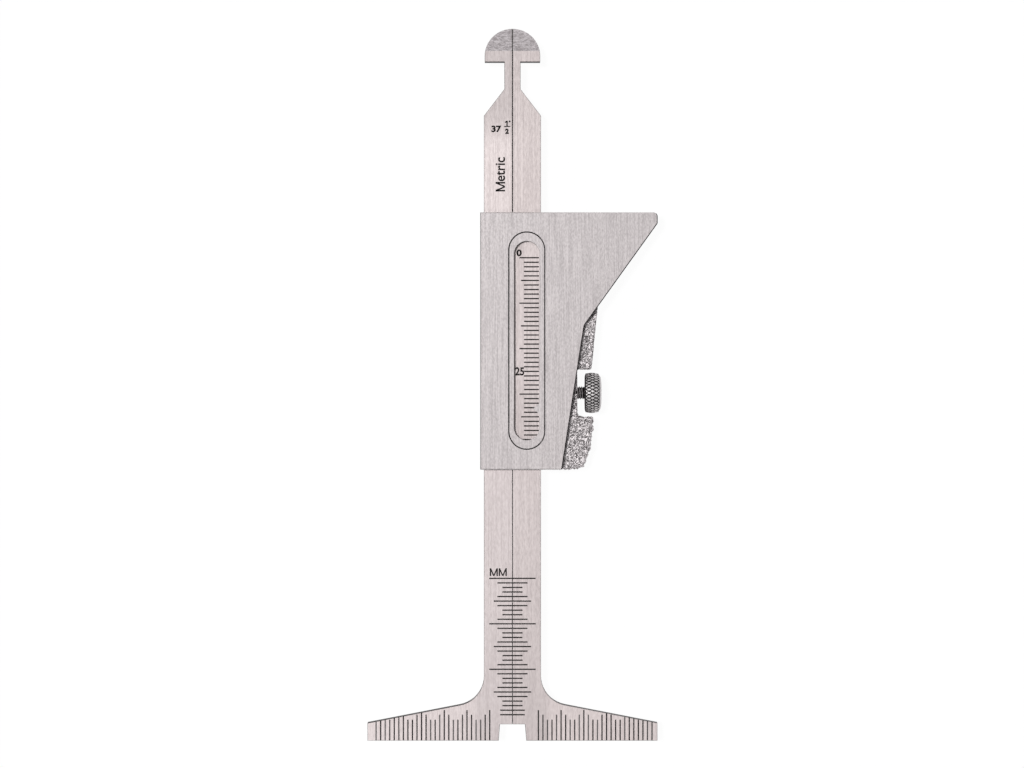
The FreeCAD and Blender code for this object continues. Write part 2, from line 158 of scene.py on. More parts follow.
# %% [markdown]
# ## Places from the frame
# The new pieces have to fit the CAD ones to a few hundredths of a millimetre. Where a size can
# be read from a loaded node it is read, so the lesson and the model can't drift apart.

# %% Read the places that several pieces share
plate_low, plate_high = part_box("face_plate")
cast_low, cast_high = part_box("cast_body")
screw_low, screw_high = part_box("thumb_screw")
blade_low, blade_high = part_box("right_blade")

SEAT = plate_low.z / MM
HOUSING_LEFT = plate_low.x / MM
HOUSING_TOP = plate_high.y / MM
HOUSING_FOOT = plate_low.y / MM
CAST_REACH = cast_high.x / MM
BLADE_FACE = blade_high.z / MM
SCREW_Y = (screw_low.y + screw_high.y) / 2 / MM
SCREW_Z = (screw_low.z + screw_high.z) / 2 / MM
KNOB_RADIUS = (screw_high.z - screw_low.z) / 2 / MM
SCREW_TIP = screw_low.x / MM
SCREW_END = screw_high.x / MM
print("plate seat z %.2f, blade face z %.2f, screw axis y %.2f z %.2f, knob radius %.2f" % (
    SEAT, BLADE_FACE, SCREW_Y, SCREW_Z, KNOB_RADIUS))

# %% [markdown]
# ## The casting, step 1: the raw block
# The real housing is an investment casting. Its right side leans by a few degrees so that the
# wax pattern leaves its die, and a bay is left open for the screw's knob. It could be drawn as
# an outline and extruded, but a block that is cut across at three heights and pushed into shape
# is quicker to follow, and its corners can then be rounded one by one. It is made a touch too
# large on the left, at the top and at the back, where the real casting is ground to size
# afterwards.

# %% Shape the raw block
DRAFT = math.tan(math.radians(5.8))
GRIND = 0.18
BAY_TOP = 3.30
BAY_FOOT = -7.02
BAY_WALL = 14.29
BLOCK_REACH = 17.9
SLANT_TOP = -14.0
SLANT_REACH = 15.3
RAW_TOP = 6.2
RAW_REACH = CAST_REACH + 0.24
RAW_FOOT = HOUSING_FOOT + 0.1


def cut_across(piece, heights):
    """Cut a block across at heights in mm, so that it has corners there."""
    for height in heights:
        open_up(piece)
        bpy.ops.mesh.bisect(plane_co=(0, height * MM, 0), plane_no=(0, 1, 0))


def push_right_side(piece, start, reaches):
    """Move the right side's corners at each height from where they start to their reach in mm."""
    for height, reach in reaches.items():
        pick(piece, "VERT", lambda v: v.co.x > 0 and abs(v.co.y / MM - height) < 0.01)
        bpy.ops.transform.translate(value=((reach - start) * MM, 0, 0))
    leave_edit()


casting = box("casting", (HOUSING_LEFT - GRIND, RAW_FOOT, -GRIND),
              (RAW_REACH, HOUSING_TOP + GRIND, RAW_TOP))
cut_across(casting, (BAY_TOP, BAY_FOOT, SLANT_TOP))
right_side = {
    BAY_TOP: RAW_REACH - (HOUSING_TOP - BAY_TOP) * DRAFT,
    BAY_FOOT: BLOCK_REACH,
    SLANT_TOP: BLOCK_REACH - (BAY_FOOT - SLANT_TOP) * DRAFT,
    RAW_FOOT: SLANT_REACH,
}
push_right_side(casting, RAW_REACH, right_side)
count_faces(casting)

# %% Round the lower corner, open the bay and soften the back
CORNER_ROUND = 1.2
EDGE_ROUND = 0.35
PAST_BACK = -1
PAST_FACE = 9
slant_corners = [(SLANT_REACH, RAW_FOOT), (right_side[SLANT_TOP], SLANT_TOP)]
bay_corners = [(BAY_WALL, BAY_TOP), (BAY_WALL, BAY_FOOT),
               (right_side[BAY_TOP], BAY_TOP), (right_side[BAY_FOOT], BAY_FOOT)]


def stands_at(piece, edge, places):
    """True for an edge along Z at one of the places in mm."""
    first, last = edge_ends(piece, edge)
    if abs(first.x - last.x) > 1e-6 or abs(first.y - last.y) > 1e-6:
        return False
    return any(math.hypot(first.x / MM - x, first.y / MM - y) < 0.05 for x, y in places)


corners = pick(casting, "EDGE", lambda e: stands_at(casting, e, slant_corners))
bpy.ops.mesh.bevel(offset=CORNER_ROUND * MM, segments=3)
cut(casting, box("bay", (BAY_WALL, BAY_FOOT, PAST_BACK), (CAST_REACH + 2, BAY_TOP, PAST_FACE)))
back_edges = pick(casting, "EDGE", lambda e: all(c.z < 0 for c in edge_ends(casting, e)))
bpy.ops.mesh.bevel(offset=(GRIND + EDGE_ROUND) * MM, segments=3)
corners += pick(casting, "EDGE", lambda e: stands_at(casting, e, bay_corners))
bpy.ops.mesh.bevel(offset=EDGE_ROUND * MM, segments=3)
leave_edit()
print("corners rounded: %d, edges of the back rim: %d" % (corners, back_edges))
count_faces(casting)

# %% [markdown]
# ## The casting, step 2: its skin
# Cast steel has a grainy, worm-eaten skin, and on this gauge it is rough enough to break the
# outline. A bump in the material alone would leave the edges ruler-straight, so the block is
# remeshed into small even faces and pushed in and out by three procedural noises: slow waves
# of the wax, lumps, and grain. The lumps are kept for the sides of the lower block, where the
# ceramic shell was broken away roughly. The finer pits are left to the material.

# %% Remesh and weigh the sides
VOXEL = 0.16
LUMPY_BELOW = BAY_FOOT + 0.4
LUMPS_ABOVE = 0.12

modify(casting, "REMESH", mode="VOXEL", voxel_size=VOXEL * MM)
lumpy = casting.vertex_groups.new(name="lumpy_sides")
for corner in casting.data.vertices:
    side = 1 - abs(corner.normal.z)
    share = side if corner.co.y < LUMPY_BELOW * MM else LUMPS_ABOVE * side
    lumpy.add([corner.index], share, "REPLACE")
count_faces(casting)


# %% Push the skin in and out
def roughen(piece, name, size, height, middle, where=""):
    """Cloudy noise with its size and height in mm. A middle above 0.5 presses more in than out."""
    noise = bpy.data.textures.new(name, "CLOUDS")
    noise.noise_scale = size * MM
    modify(piece, "DISPLACE", texture=noise, strength=height * MM, mid_level=middle,
           texture_coords="LOCAL", vertex_group=where)


roughen(casting, "wax_waves", size=5.0, height=0.12, middle=0.5)
roughen(casting, "lumps", size=1.35, height=1.9, middle=0.62, where="lumpy_sides")
roughen(casting, "grain", size=0.4, height=0.2, middle=0.6)
count_faces(casting)

# %% [markdown]
# ## The casting, step 3: machining
# After casting, a mill and a grinder make the faces that have to be true: the seat of the plate,
# the channel of the blades, the left side, the top and a skim off the back. Each is one cut
# here too. The seat is a clean slab joined to the rough block just under the plate, so the
# rough ledge beside the plate stays a little lower, as a casting's skin does.

# %% Join the plate's seat
SEAT_UNDER = 5.0
SEAT_FOOT = HOUSING_FOOT + 0.05
SEAT_TOP = HOUSING_TOP + GRIND
SEAT_BEND = 12.9
SEAT_WAIST = 15.6
SEAT_REACH = 15.6

seat = box("seat", (HOUSING_LEFT - GRIND, SEAT_FOOT, SEAT_UNDER), (SEAT_REACH, SEAT_TOP, SEAT))
cut_across(seat, (SEAT_BEND, SEAT_WAIST))
push_right_side(seat, SEAT_REACH, {
    SEAT_FOOT: 10.75, SEAT_BEND: SEAT_REACH, SEAT_WAIST: 17.6, SEAT_TOP: 20.0})
cut(casting, seat, how="UNION")
count_faces(casting)

# %% Mill the channel and the spring's nest, and drill the screw's bore
CHANNEL = 6.31
CHANNEL_FLOOR = 3.9
NEST_WALL = 7.20
NEST_FOOT = 8.47
NEST_TOP = 21.07
BORE_RADIUS = 1.5
BORE_LENGTH = 12
BORE_MIDDLE = 11
PAST_FOOT = -30
PAST_TOP = 50

cut(casting, box("channel", (-CHANNEL, PAST_FOOT, CHANNEL_FLOOR), (CHANNEL, PAST_TOP, PAST_FACE)))
cut(casting, box("nest", (CHANNEL - 0.1, NEST_FOOT, CHANNEL_FLOOR),
                 (NEST_WALL, NEST_TOP, PAST_FACE)))
bpy.ops.mesh.primitive_cylinder_add(
    vertices=40, radius=BORE_RADIUS * MM, depth=BORE_LENGTH * MM, rotation=(0, math.pi / 2, 0),
    location=(BORE_MIDDLE * MM, SCREW_Y * MM, SCREW_Z * MM))
cut(casting, settle(bpy.context.active_object, "bore"))
count_faces(casting)


# %% Saw the left side, the top and the back true
def saw(piece, place, direction):
    """Take off what lies beyond a plane and close the cut. The operator counts all within its
    threshold as lying on the plane, and its usual tenth of a millimetre is too coarse here."""
    open_up(piece)
    bpy.ops.mesh.bisect(plane_co=place, plane_no=direction, use_fill=True, clear_outer=True,
                        threshold=1e-7)
    leave_edit()


saw(casting, (HOUSING_LEFT * MM, 0, 0), (-1, 0, 0))
saw(casting, (0, HOUSING_TOP * MM, 0), (0, 1, 0))
saw(casting, (0, 0, 0), (0, 0, -1))
count_faces(casting)

# %% [markdown]
# ## The thumb screw, step 1: turning
# On a lathe the screw is one bar with a nose, a shank, a relief behind the knob and the knob.
# The same half-outline is drawn here from a single corner, extruded point by point, and spun
# about the screw's axis. Spinning leaves a double row where the turn closes and can turn the
# skin inside out, so doubles are merged and the normals recalculated.

# %% Measure out the screw
STEPS = 36
NOSE_RADIUS = 0.75
CORE_RADIUS = 1.14
UNDERCUT_RADIUS = 1.3
SHOULDER_RADIUS = 3.6
KNURL_DEPTH = 0.17
KNOB_FACE = SCREW_END - 3.63
KNURL_START = KNOB_FACE + 0.14
KNURL_END = KNOB_FACE + 3.12
KNURL_ROWS = 2
RELIEF_START = KNOB_FACE - 0.38
SHANK_TIP = SCREW_TIP + 1.06
# The dark ring right after the knurled band is dirt and painted shade.
DARK_RING_END = KNURL_END + 0.03
print("screw, mm: tip %.2f, shank from %.2f, knob %.2f to %.2f" % (
    SCREW_TIP, SHANK_TIP, KNOB_FACE, SCREW_END))


# %% Draw the half-outline and spin it
def turned(name, outline):
    """Solid of revolution about the screw's axis from (x, radius) pairs in mm."""
    bpy.ops.mesh.primitive_plane_add(size=MM)
    piece = settle(bpy.context.active_object, name)
    open_up(piece)
    bpy.ops.mesh.merge(type="CENTER")
    x, radius = outline[0]
    bpy.ops.transform.translate(value=(x * MM, SCREW_Y * MM, (SCREW_Z + radius) * MM))
    for (x0, r0), (x1, r1) in zip(outline, outline[1:]):
        bpy.ops.mesh.extrude_vertices_move(
            TRANSFORM_OT_translate={"value": ((x1 - x0) * MM, 0, (r1 - r0) * MM)})
    bpy.ops.mesh.select_all(action="SELECT")
    bpy.ops.mesh.spin(steps=STEPS, angle=2 * math.pi, axis=(1, 0, 0),
                      center=(0, SCREW_Y * MM, SCREW_Z * MM))
    bpy.ops.mesh.select_all(action="SELECT")
    bpy.ops.mesh.remove_doubles(threshold=0.002 * MM)
    bpy.ops.mesh.normals_make_consistent(inside=False)
    leave_edit()
    return piece


barrel = [(KNURL_START, 4.1), ((KNURL_START + KNURL_END) / 2, KNOB_RADIUS - KNURL_DEPTH - 0.02),
          (KNURL_END, 4.0)]
screw = turned("knurled_screw", [
    (SCREW_TIP, 0), (SCREW_TIP, NOSE_RADIUS - 0.1), (SCREW_TIP + 0.1, NOSE_RADIUS),
    (SHANK_TIP, NOSE_RADIUS), (SHANK_TIP, CORE_RADIUS), (RELIEF_START, CORE_RADIUS),
    (RELIEF_START + 0.04, UNDERCUT_RADIUS), (KNOB_FACE, UNDERCUT_RADIUS + 0.03),
    (KNOB_FACE, SHOULDER_RADIUS), (KNOB_FACE + 0.06, 3.9), *barrel,
    (DARK_RING_END, 3.84), (KNURL_END + 0.16, 3.8), (SCREW_END - 0.14, 3.45),
    (SCREW_END - 0.04, 3.0), (SCREW_END, 2.6), (SCREW_END, 0.9), (SCREW_END - 0.12, 0.7),
    (SCREW_END - 0.2, 0),
])
count_faces(screw)

# %% [markdown]
# ## The thumb screw, step 2: the thread
# A thread is the same one-pitch sleeve again and again. So one pitch is made as a short tube,
# its corners are weighted by how deep the V cuts at their turn, and a Displace modifier presses
# them in by that weight. An Array modifier repeats the sleeve and welds the joints, which gives
# a true helix, because the V moves on by exactly one pitch in one turn.

# %% Press the V into one pitch
PITCH = 0.5
THREAD_RADIUS = 1.45
THREAD_DEPTH = 0.3
THREAD_START = SHANK_TIP + 0.02
THREAD_END = RELIEF_START - 0.02
RINGS = 10

bpy.ops.mesh.primitive_circle_add(
    vertices=STEPS, radius=THREAD_RADIUS * MM, rotation=(0, math.pi / 2, 0),
    location=(THREAD_START * MM, SCREW_Y * MM, SCREW_Z * MM))
thread = settle(bpy.context.active_object, "thread")
open_up(thread)
for ring in range(RINGS):
    bpy.ops.mesh.extrude_region_move(
        TRANSFORM_OT_translate={"value": (PITCH / RINGS * MM, 0, 0)})
bpy.ops.mesh.select_all(action="SELECT")
bpy.ops.mesh.normals_make_consistent(inside=False)
leave_edit()

depth = thread.vertex_groups.new(name="v_groove")
for corner in thread.data.vertices:
    turn = -math.atan2(corner.co.z - SCREW_Z * MM, corner.co.y - SCREW_Y * MM) / (2 * math.pi)
    phase = (corner.co.x / MM - THREAD_START) / PITCH + turn
    slope = abs(2 * (phase % 1) - 1)
    depth.add([corner.index], min(1, max(0, 1.25 * slope - 0.12)), "REPLACE")
outwards = sum(face.normal.dot(face.center - Vector((face.center.x, SCREW_Y * MM, SCREW_Z * MM)))
               for face in thread.data.polygons)
modify(thread, "DISPLACE", vertex_group="v_groove", direction="NORMAL", mid_level=0,
       strength=math.copysign(THREAD_DEPTH * MM, -outwards))
count_faces(thread)

# %% Repeat the pitch, cap the ends and join the thread to the screw
turns = int((THREAD_END - THREAD_START) / PITCH)
modify(thread, "ARRAY", count=turns, use_relative_offset=False, use_constant_offset=True,
       constant_offset_displace=(PITCH * MM, 0, 0), use_merge_vertices=True,
       merge_threshold=0.001 * MM)
open_up(thread)
bpy.ops.mesh.remove_doubles(threshold=0.001 * MM)
bpy.ops.mesh.select_all(action="DESELECT")
bpy.ops.mesh.select_mode(type="EDGE")
bpy.ops.mesh.select_non_manifold()
bpy.ops.mesh.edge_face_add()
bpy.ops.mesh.select_all(action="SELECT")
bpy.ops.mesh.normals_make_consistent(inside=False)
leave_edit()
print("thread: %d turns of %.1f mm, %d faces" % (turns, PITCH, len(thread.data.polygons)))
cut(screw, thread, how="UNION")
count_faces(screw)

# %% [markdown]
# ## The thumb screw, step 3: the diamond knurl
# A knurl is pressed in by two wheels that leave slanted grooves both ways, with a small pyramid
# between them. It could be a bump pattern, but the knob is the one place that shines and breaks
# the outline, so real faces are worth it. The band is a grid of long cells. Poking puts a point
# in the middle of each cell, and dissolving the grid's own lines leaves diamonds. Each diamond
# is then inset and lifted by itself. The tops that come out of this are rubbed bright by
# fingers and carry a painted highlight, and the grooves hold dirt and painted shade, so each gets
# a material slot of its own.

# %% Find the knurl's band
BAND_ROW = (KNURL_END - KNURL_START) / KNURL_ROWS * MM
BAND_RADIUS = 3.95


def from_axis(point):
    """Distance from the screw's axis in mm."""
    return math.hypot(point.y - SCREW_Y * MM, point.z - SCREW_Z * MM) / MM


def on_band(point):
    """True for a corner of the knurl's band."""
    return (KNURL_START - 0.01 < point.x / MM < KNURL_END + 0.01
            and from_axis(point) > BAND_RADIUS)


def band_face(face):
    """True for a face with all its corners on the band."""
    return all(on_band(screw.data.vertices[number].co) for number in face.vertices)


def grid_line(edge):
    """True for a line of the grid, except the rings that close the band."""
    first, last = edge_ends(screw, edge)
    if not (on_band(first) and on_band(last)):
        return False
    along = abs(first.x - last.x)
    if along < 1e-7:
        return KNURL_START + 0.01 < first.x / MM < KNURL_END - 0.01
    return abs(along - BAND_ROW) < 1e-7


band = pick(screw, "FACE", band_face)
leave_edit()
print("cells on the band:", band)

# %% Turn the grid into diamonds and lift them
HALF_GROOVE = 0.1
# The second slot is for the rubbed tops with a painted highlight, the third for dirt and painted
# shade in the grooves and hollows.
BARE, RUBBED_AND_LIT, DIRTY_AND_SHADED = range(3)


def assign_slot(piece, number):
    """Give the selected faces a material slot."""
    piece.active_material_index = number
    bpy.ops.object.material_slot_assign()


take(screw)
for slot in (BARE, RUBBED_AND_LIT, DIRTY_AND_SHADED):
    bpy.ops.object.material_slot_add()
pick(screw, "FACE", band_face)
bpy.ops.mesh.poke()
grid = pick(screw, "EDGE", grid_line)
bpy.ops.mesh.dissolve_edges(use_verts=False)
diamonds = pick(screw, "FACE", band_face)
assign_slot(screw, DIRTY_AND_SHADED)
bpy.ops.mesh.inset(thickness=HALF_GROOVE * MM, depth=KNURL_DEPTH * MM, use_individual=True)
assign_slot(screw, RUBBED_AND_LIT)
leave_edit()
print("knurl: %d grid lines dissolved, %d diamonds lifted" % (grid, diamonds))
count_faces(screw)

# %% Pick the faces that hold dirt and painted shade
SHANK_CLEAR = 2
GROOVE_HALFWAY = 1.3


def holds_dirt_and_shade(face):
    """The undercut behind the knob, the rounding before the band, the line after it, and the
    lower half of the thread's groove: hollows that get dirt and painted shade."""
    x = face.center.x / MM
    radius = from_axis(face.center)
    if radius < SHANK_CLEAR:
        in_thread = SHANK_TIP < x < RELIEF_START and radius < GROOVE_HALFWAY
        return in_thread or RELIEF_START < x < KNOB_FACE
    return radius > SHOULDER_RADIUS and (x < KNURL_START or KNURL_END < x < DARK_RING_END)


dirty = pick(screw, "FACE", holds_dirt_and_shade)
assign_slot(screw, DIRTY_AND_SHADED)
leave_edit()
print("faces that hold dirt:", dirty)

# %% [markdown]
# ## Smooth and sharp
# Each new piece is shaded smooth, except where two faces meet at more than a set angle. The
# casting takes a wide angle, so its lumps stay round while its milled edges stay crisp. The
# knurl takes a small one, so that every little facet glints on its own.

# %% Shade the new pieces
for piece, angle in ((casting, 50), (screw, 28)):
    take(piece)
    bpy.ops.object.shade_smooth_by_angle(angle=math.radians(angle))
    print("%s: sharp from %d degrees" % (piece.name, angle))

# %% [markdown]
# ## Figures and words
# The figures are engraved and filled with black paint, level with the metal. The blades are CAD
# pieces and aren't cut here, so each mark is a paper-thin slab of black that stands a hundredth
# of a millimetre proud. It still passes under the plate, which clears the blade by 0.05 mm. A
# text object is turned into a mesh while it stands at the origin, and is then fitted to the
# width and height measured for it.

# %% Lay figures, strokes and dots on the blade
MARK_SINK = 0.004
MARK_RISE = 0.008


def lay_flat(piece, centre, size, turn=0.0):
    """Fit a flat piece to a width and height in mm, turn it and lay it on the blade's face."""
    take(piece)
    bpy.ops.object.origin_set(type="ORIGIN_GEOMETRY", center="BOUNDS")
    wide, high, thick = piece.dimensions
    piece.scale = (size[0] * MM / wide, size[1] * MM / high, (MARK_SINK + MARK_RISE) * MM / thick)
    piece.rotation_euler = (0, 0, turn)
    piece.location = (centre[0] * MM, centre[1] * MM,
                      (BLADE_FACE + (MARK_RISE - MARK_SINK) / 2) * MM)
    bpy.ops.object.transform_apply(location=True, rotation=True, scale=True)
    return piece


def figure(text, centre, size, weight, turn=0.0):
    """Figure or word as a thin black slab, fitted to the measured size before it is turned."""
    leave_edit()
    bpy.ops.object.text_add()
    piece = bpy.context.active_object
    piece.data.body = text
    piece.data.extrude = 0.1
    piece.data.offset = weight
    piece.data.resolution_u = 6
    bpy.ops.object.convert(target="MESH")
    return lay_flat(bpy.context.active_object, centre, size, turn)


def stroke(centre, size, turn=0.0):
    """Short straight line."""
    bpy.ops.mesh.primitive_cube_add(size=1)
    return lay_flat(bpy.context.active_object, centre, size, turn)


def dot(centre, width):
    """Small round dot."""
    bpy.ops.mesh.primitive_cylinder_add(vertices=20, radius=0.5, depth=0.2)
    return lay_flat(bpy.context.active_object, centre, (width, width))


print("marks stand %.3f mm proud" % MARK_RISE)


# %% Cut an M from strokes, and gather a blade's marks
def letter_m(centre, size, weight, turn=0.0):
    """M as an engraver cuts it: two upright legs and a V that reaches their feet."""
    wide, high = size
    lean = math.atan2(wide / 2 - weight / 2, high)
    length = math.hypot(wide / 2 - weight / 2, high) - weight * math.sin(lean)
    across = Vector((math.cos(turn), math.sin(turn)))
    marks = []
    for side in (-1, 1):
        leg = Vector(centre) + across * side * (wide - weight) / 2
        marks.append(stroke(leg, (weight, high), turn))
        slant = Vector(centre) + across * side * (wide - weight) / 4
        marks.append(stroke(slant, (weight * 0.9, length), turn - side * lean))
    return marks


def gather(name, marks):
    """Join the marks of one blade and clean the doubles that text meshes have."""
    take(marks[0])
    for mark in marks[1:]:
        mark.select_set(True)
    bpy.ops.object.join()
    piece = settle(bpy.context.active_object, name)
    open_up(piece)
    bpy.ops.mesh.remove_doubles(threshold=0.0005 * MM)
    bpy.ops.mesh.normals_make_consistent(inside=False)
    leave_edit()
    count_faces(piece)
    return piece


# %% [markdown]
# ## Paint in the engraved lines
# The CAD blades and plate carry their graduations as grooves, a tenth of a millimetre deep.
# Paint is rubbed into them and wiped off, and a little stays on both lips, so a line looks
# wider than its groove. Laying 150 strips by hand would be slow and could miss a line. Instead
# the mesh is copied, all but the groove floors is deleted, and what is left is raised, given a
# thickness and fattened by the width of a lip.

# %% Lift the paint out of a piece's grooves
PAINT_SHEET = 0.01


def groove_paint(node, name, floor, face_level, lip):
    """Paint that fills the grooves of a node and covers their lips."""
    paint = bpy.data.objects.new(name, node.data.copy())
    bpy.context.scene.collection.objects.link(paint)
    paint.data.materials.clear()
    pick(paint, "FACE", lambda f: f.normal.z < 0.99 or abs(f.center.z / MM - floor) > 0.01)
    bpy.ops.mesh.delete(type="FACE")
    bpy.ops.mesh.select_all(action="SELECT")
    bpy.ops.mesh.remove_doubles(threshold=0.001 * MM)
    bpy.ops.mesh.dissolve_limited(angle_limit=math.radians(1))
    lift = face_level + MARK_RISE - lip - PAINT_SHEET - floor
    bpy.ops.transform.translate(value=(0, 0, lift * MM))
    bpy.ops.mesh.extrude_region_move(TRANSFORM_OT_translate={"value": (0, 0, PAINT_SHEET * MM)})
    bpy.ops.mesh.select_all(action="SELECT")
    bpy.ops.mesh.normals_make_consistent(inside=False)
    bpy.ops.transform.shrink_fatten(value=lip * MM, use_even_offset=True)
    leave_edit()
    print("%s: %.3f mm above the metal" % (
        name, max(v.co.z for v in paint.data.vertices) / MM - face_level))
    return paint


# %% Paint the blades' lines, clear of the joint and of the foot
LINE_FLOOR = BLADE_FACE - 0.1
LINE_LIP = 0.018
JOINT_CLEAR = 0.045
FOOT_CLEAR = 0.06
FOOT = blade_low.y / MM

left_lines = groove_paint(nodes["left_blade"], "left_lines", LINE_FLOOR, BLADE_FACE, LINE_LIP)
saw(left_lines, (-JOINT_CLEAR * MM, 0, 0), (1, 0, 0))
right_lines = groove_paint(nodes["right_blade"], "right_lines", LINE_FLOOR, BLADE_FACE, LINE_LIP)
saw(right_lines, (JOINT_CLEAR * MM, 0, 0), (-1, 0, 0))
for lines in (left_lines, right_lines):
    saw(lines, (0, (FOOT + FOOT_CLEAR) * MM, 0), (0, -1, 0))
    count_faces(lines)

# %% Paint the border of the window
PLATE_FACE = plate_high.z / MM
BORDER_FLOOR = PLATE_FACE - 0.15
BORDER_LIP = 0.03
border_paint = groove_paint(nodes["face_plate"], "window_border_paint", BORDER_FLOOR, PLATE_FACE,
                            BORDER_LIP)
count_faces(border_paint)

# %% Lay out the marks of both blades
left_marks = gather("left_blade_marks", [
    left_lines,
    *letter_m((-4.1, -41.3), (1.78, 1.72), 0.31),
    *letter_m((-2.13, -41.3), (1.78, 1.72), 0.31),
    *letter_m((-2.66, 43.5), (2.1, 2.1), 0.36, turn=math.pi / 2),
    figure("etric", (-2.66, 47.33), (5.3, 2.1), turn=math.pi / 2, weight=0.018),
    figure("37", (-3.54, 56.2), (2.2, 1.5), weight=0.045),
    stroke((-1.18, 57.42), (0.31, 1.2)),
    stroke((-1.43, 57.76), (0.5, 0.25), turn=math.radians(38)),
    figure("2", (-1.2, 55.7), (0.8, 1.2), weight=0.07),
    stroke((-1.14, 56.73), (1.4, 0.22)),
    dot((-0.62, 57.85), 0.42),
])
right_marks = gather("right_blade_marks", [
    right_lines,
    figure("0", (1.46, 28.95), (1.17, 1.52), weight=0.045),
    figure("25", (1.58, 2.87), (2.0, 1.85), weight=0.03),
])

# %% [markdown]
# ## Oil in the joint
# The two blades run 0.04 mm apart. On the real gauge oil and grinding dust fill that joint, and
# the narrow gap lies in shade, so it shows as a dark line over the whole length, and no light
# comes through from below. The film is a thin dark strip that stands on edge in the gap and moves
# with the
# left blade: it is the oil, and painted shade in place of the lit table that would show through
# the gap. Its ends are rounded off, just short of the head's tip and of the notch between the
# feet.

# %% Stand the strip in the joint
FILM_FOOT = -74.5
FILM_TOP = 78.2
film = box("joint_film", (-0.019, FILM_FOOT, 4.05), (0.013, FILM_TOP, 5.0))
pick(film, "EDGE", lambda e: abs(edge_ends(film, e)[0].x - edge_ends(film, e)[1].x) > 1e-6)
bpy.ops.mesh.bevel(offset=0.2 * MM, segments=4)
leave_edit()
count_faces(film)

# %% Run it out over the bevel of the head
BEVEL_FOOT = 73.37
BEVEL_LENGTH = 5
BEVEL_DROP = 1.1
SMEAR_TOP = 78.3

smear = box("head_film", (-0.13, BEVEL_FOOT - 0.3, BLADE_FACE - 0.01),
            (0.0, SMEAR_TOP, BLADE_FACE + MARK_RISE))
cut_across(smear, [BEVEL_FOOT])
pick(smear, "VERT", lambda v: v.co.y > FILM_TOP * MM)
fall = BEVEL_DROP * (SMEAR_TOP - BEVEL_FOOT) / BEVEL_LENGTH
bpy.ops.transform.translate(value=(0, 0, -fall * MM))
leave_edit()
film.select_set(True)
bpy.context.view_layer.objects.active = film
bpy.ops.object.join()
count_faces(film)

# %% [markdown]
# ## Finishes that several metals share
# Four effects turn up on more than one piece, so each is a node group made once and placed in
# each material with its own values. Ground grain is fine streaks along the blades. Painted edge
# shade tells flat faces, chamfers, sides and ends apart by the way they face, and paints shade or
# a highlight on each as the soft box would light it. Black fill finds the floor of the engraved
# lines by its height. Cast skin is worm-like grain with pits: a slow noise sent through a sine, so
# that its height lines turn into winding ridges, and its colour follows the height, so that the
# hollows are darker, partly in their own tone and partly as painted shade. A group only hands out
# colours, masks and heights: the shader stays in the material.

# %% Place nodes, fill their sockets, and work out values and colours
def put(tree, kind, place, **values):
    """Add a node at a place of the tree and set its values."""
    node = tree.nodes.new(kind)
    node.location = place
    for name, value in values.items():
        setattr(node, name, value)
    return node


def fill_socket(tree, socket, value):
    """Set a socket to a number or a colour, or link another socket to it."""
    if isinstance(value, (int, float)):
        socket.default_value = value
    elif isinstance(value, tuple):
        socket.default_value = (*value, 1.0)
    else:
        tree.links.new(value, socket)


def maths(tree, operation, first, second, place, third=None, clamp=False):
    """Math node between sockets or plain numbers."""
    node = put(tree, "ShaderNodeMath", place, operation=operation, use_clamp=clamp)
    for socket, value in zip(node.inputs, (first, second, third)):
        if value is not None:
            fill_socket(tree, socket, value)
    return node.outputs[0]


def ramp(tree, value, low, high, place, start=0.0, end=1.0):
    """Map a value from low..high to start..end, clamped."""
    node = put(tree, "ShaderNodeMapRange", place, interpolation_type="SMOOTHSTEP")
    for name, number in (("From Min", low), ("From Max", high), ("To Min", start),
                         ("To Max", end)):
        node.inputs[name].default_value = number
    tree.links.new(value, node.inputs["Value"])
    return node.outputs["Result"]


def blend_colours(tree, factor, first, second, place, blend="MIX"):
    """Mix two colours, each a socket or a plain colour, or multiply them."""
    node = put(tree, "ShaderNodeMix", place, data_type="RGBA", blend_type=blend)
    for socket, value in ((node.inputs["Factor"], factor), (node.inputs[6], first),
                          (node.inputs[7], second)):
        fill_socket(tree, socket, value)
    return node.outputs[2]


# %% Find places, take noise, start a group
def noise(tree, where, scale, place, detail=2.0, roughness=0.5, distortion=0.0):
    """Noise over a place, about 0.5 in the mean."""
    node = put(tree, "ShaderNodeTexNoise", place)
    for label, value in (("Vector", where), ("Scale", scale), ("Detail", detail),
                         ("Roughness", roughness), ("Distortion", distortion)):
        fill_socket(tree, node.inputs[label], value)
    return node.outputs["Fac"]


def split(tree, vector, place):
    """The parts of a vector, to be had by their letters X, Y and Z."""
    node = put(tree, "ShaderNodeSeparateXYZ", place)
    tree.links.new(vector, node.inputs[0])
    return node.outputs


def object_place(tree, place):
    """Where a point lies on its own piece."""
    return put(tree, "ShaderNodeTexCoord", place).outputs["Object"]


def new_group(name, inputs, outputs):
    """Empty shader group with named sockets."""
    group = bpy.data.node_groups.new(name, "ShaderNodeTree")
    kinds = {"value": "NodeSocketFloat", "colour": "NodeSocketColor"}
    for label, kind, default in inputs:
        socket = group.interface.new_socket(label, in_out="INPUT", socket_type=kinds[kind])
        socket.default_value = default if kind == "value" else (*default, 1.0)
    for label, kind in outputs:
        group.interface.new_socket(label, in_out="OUTPUT", socket_type=kinds[kind])
    entry = put(group, "NodeGroupInput", (-1000, 0))
    leave = put(group, "NodeGroupOutput", (900, 0))
    return group, entry, leave


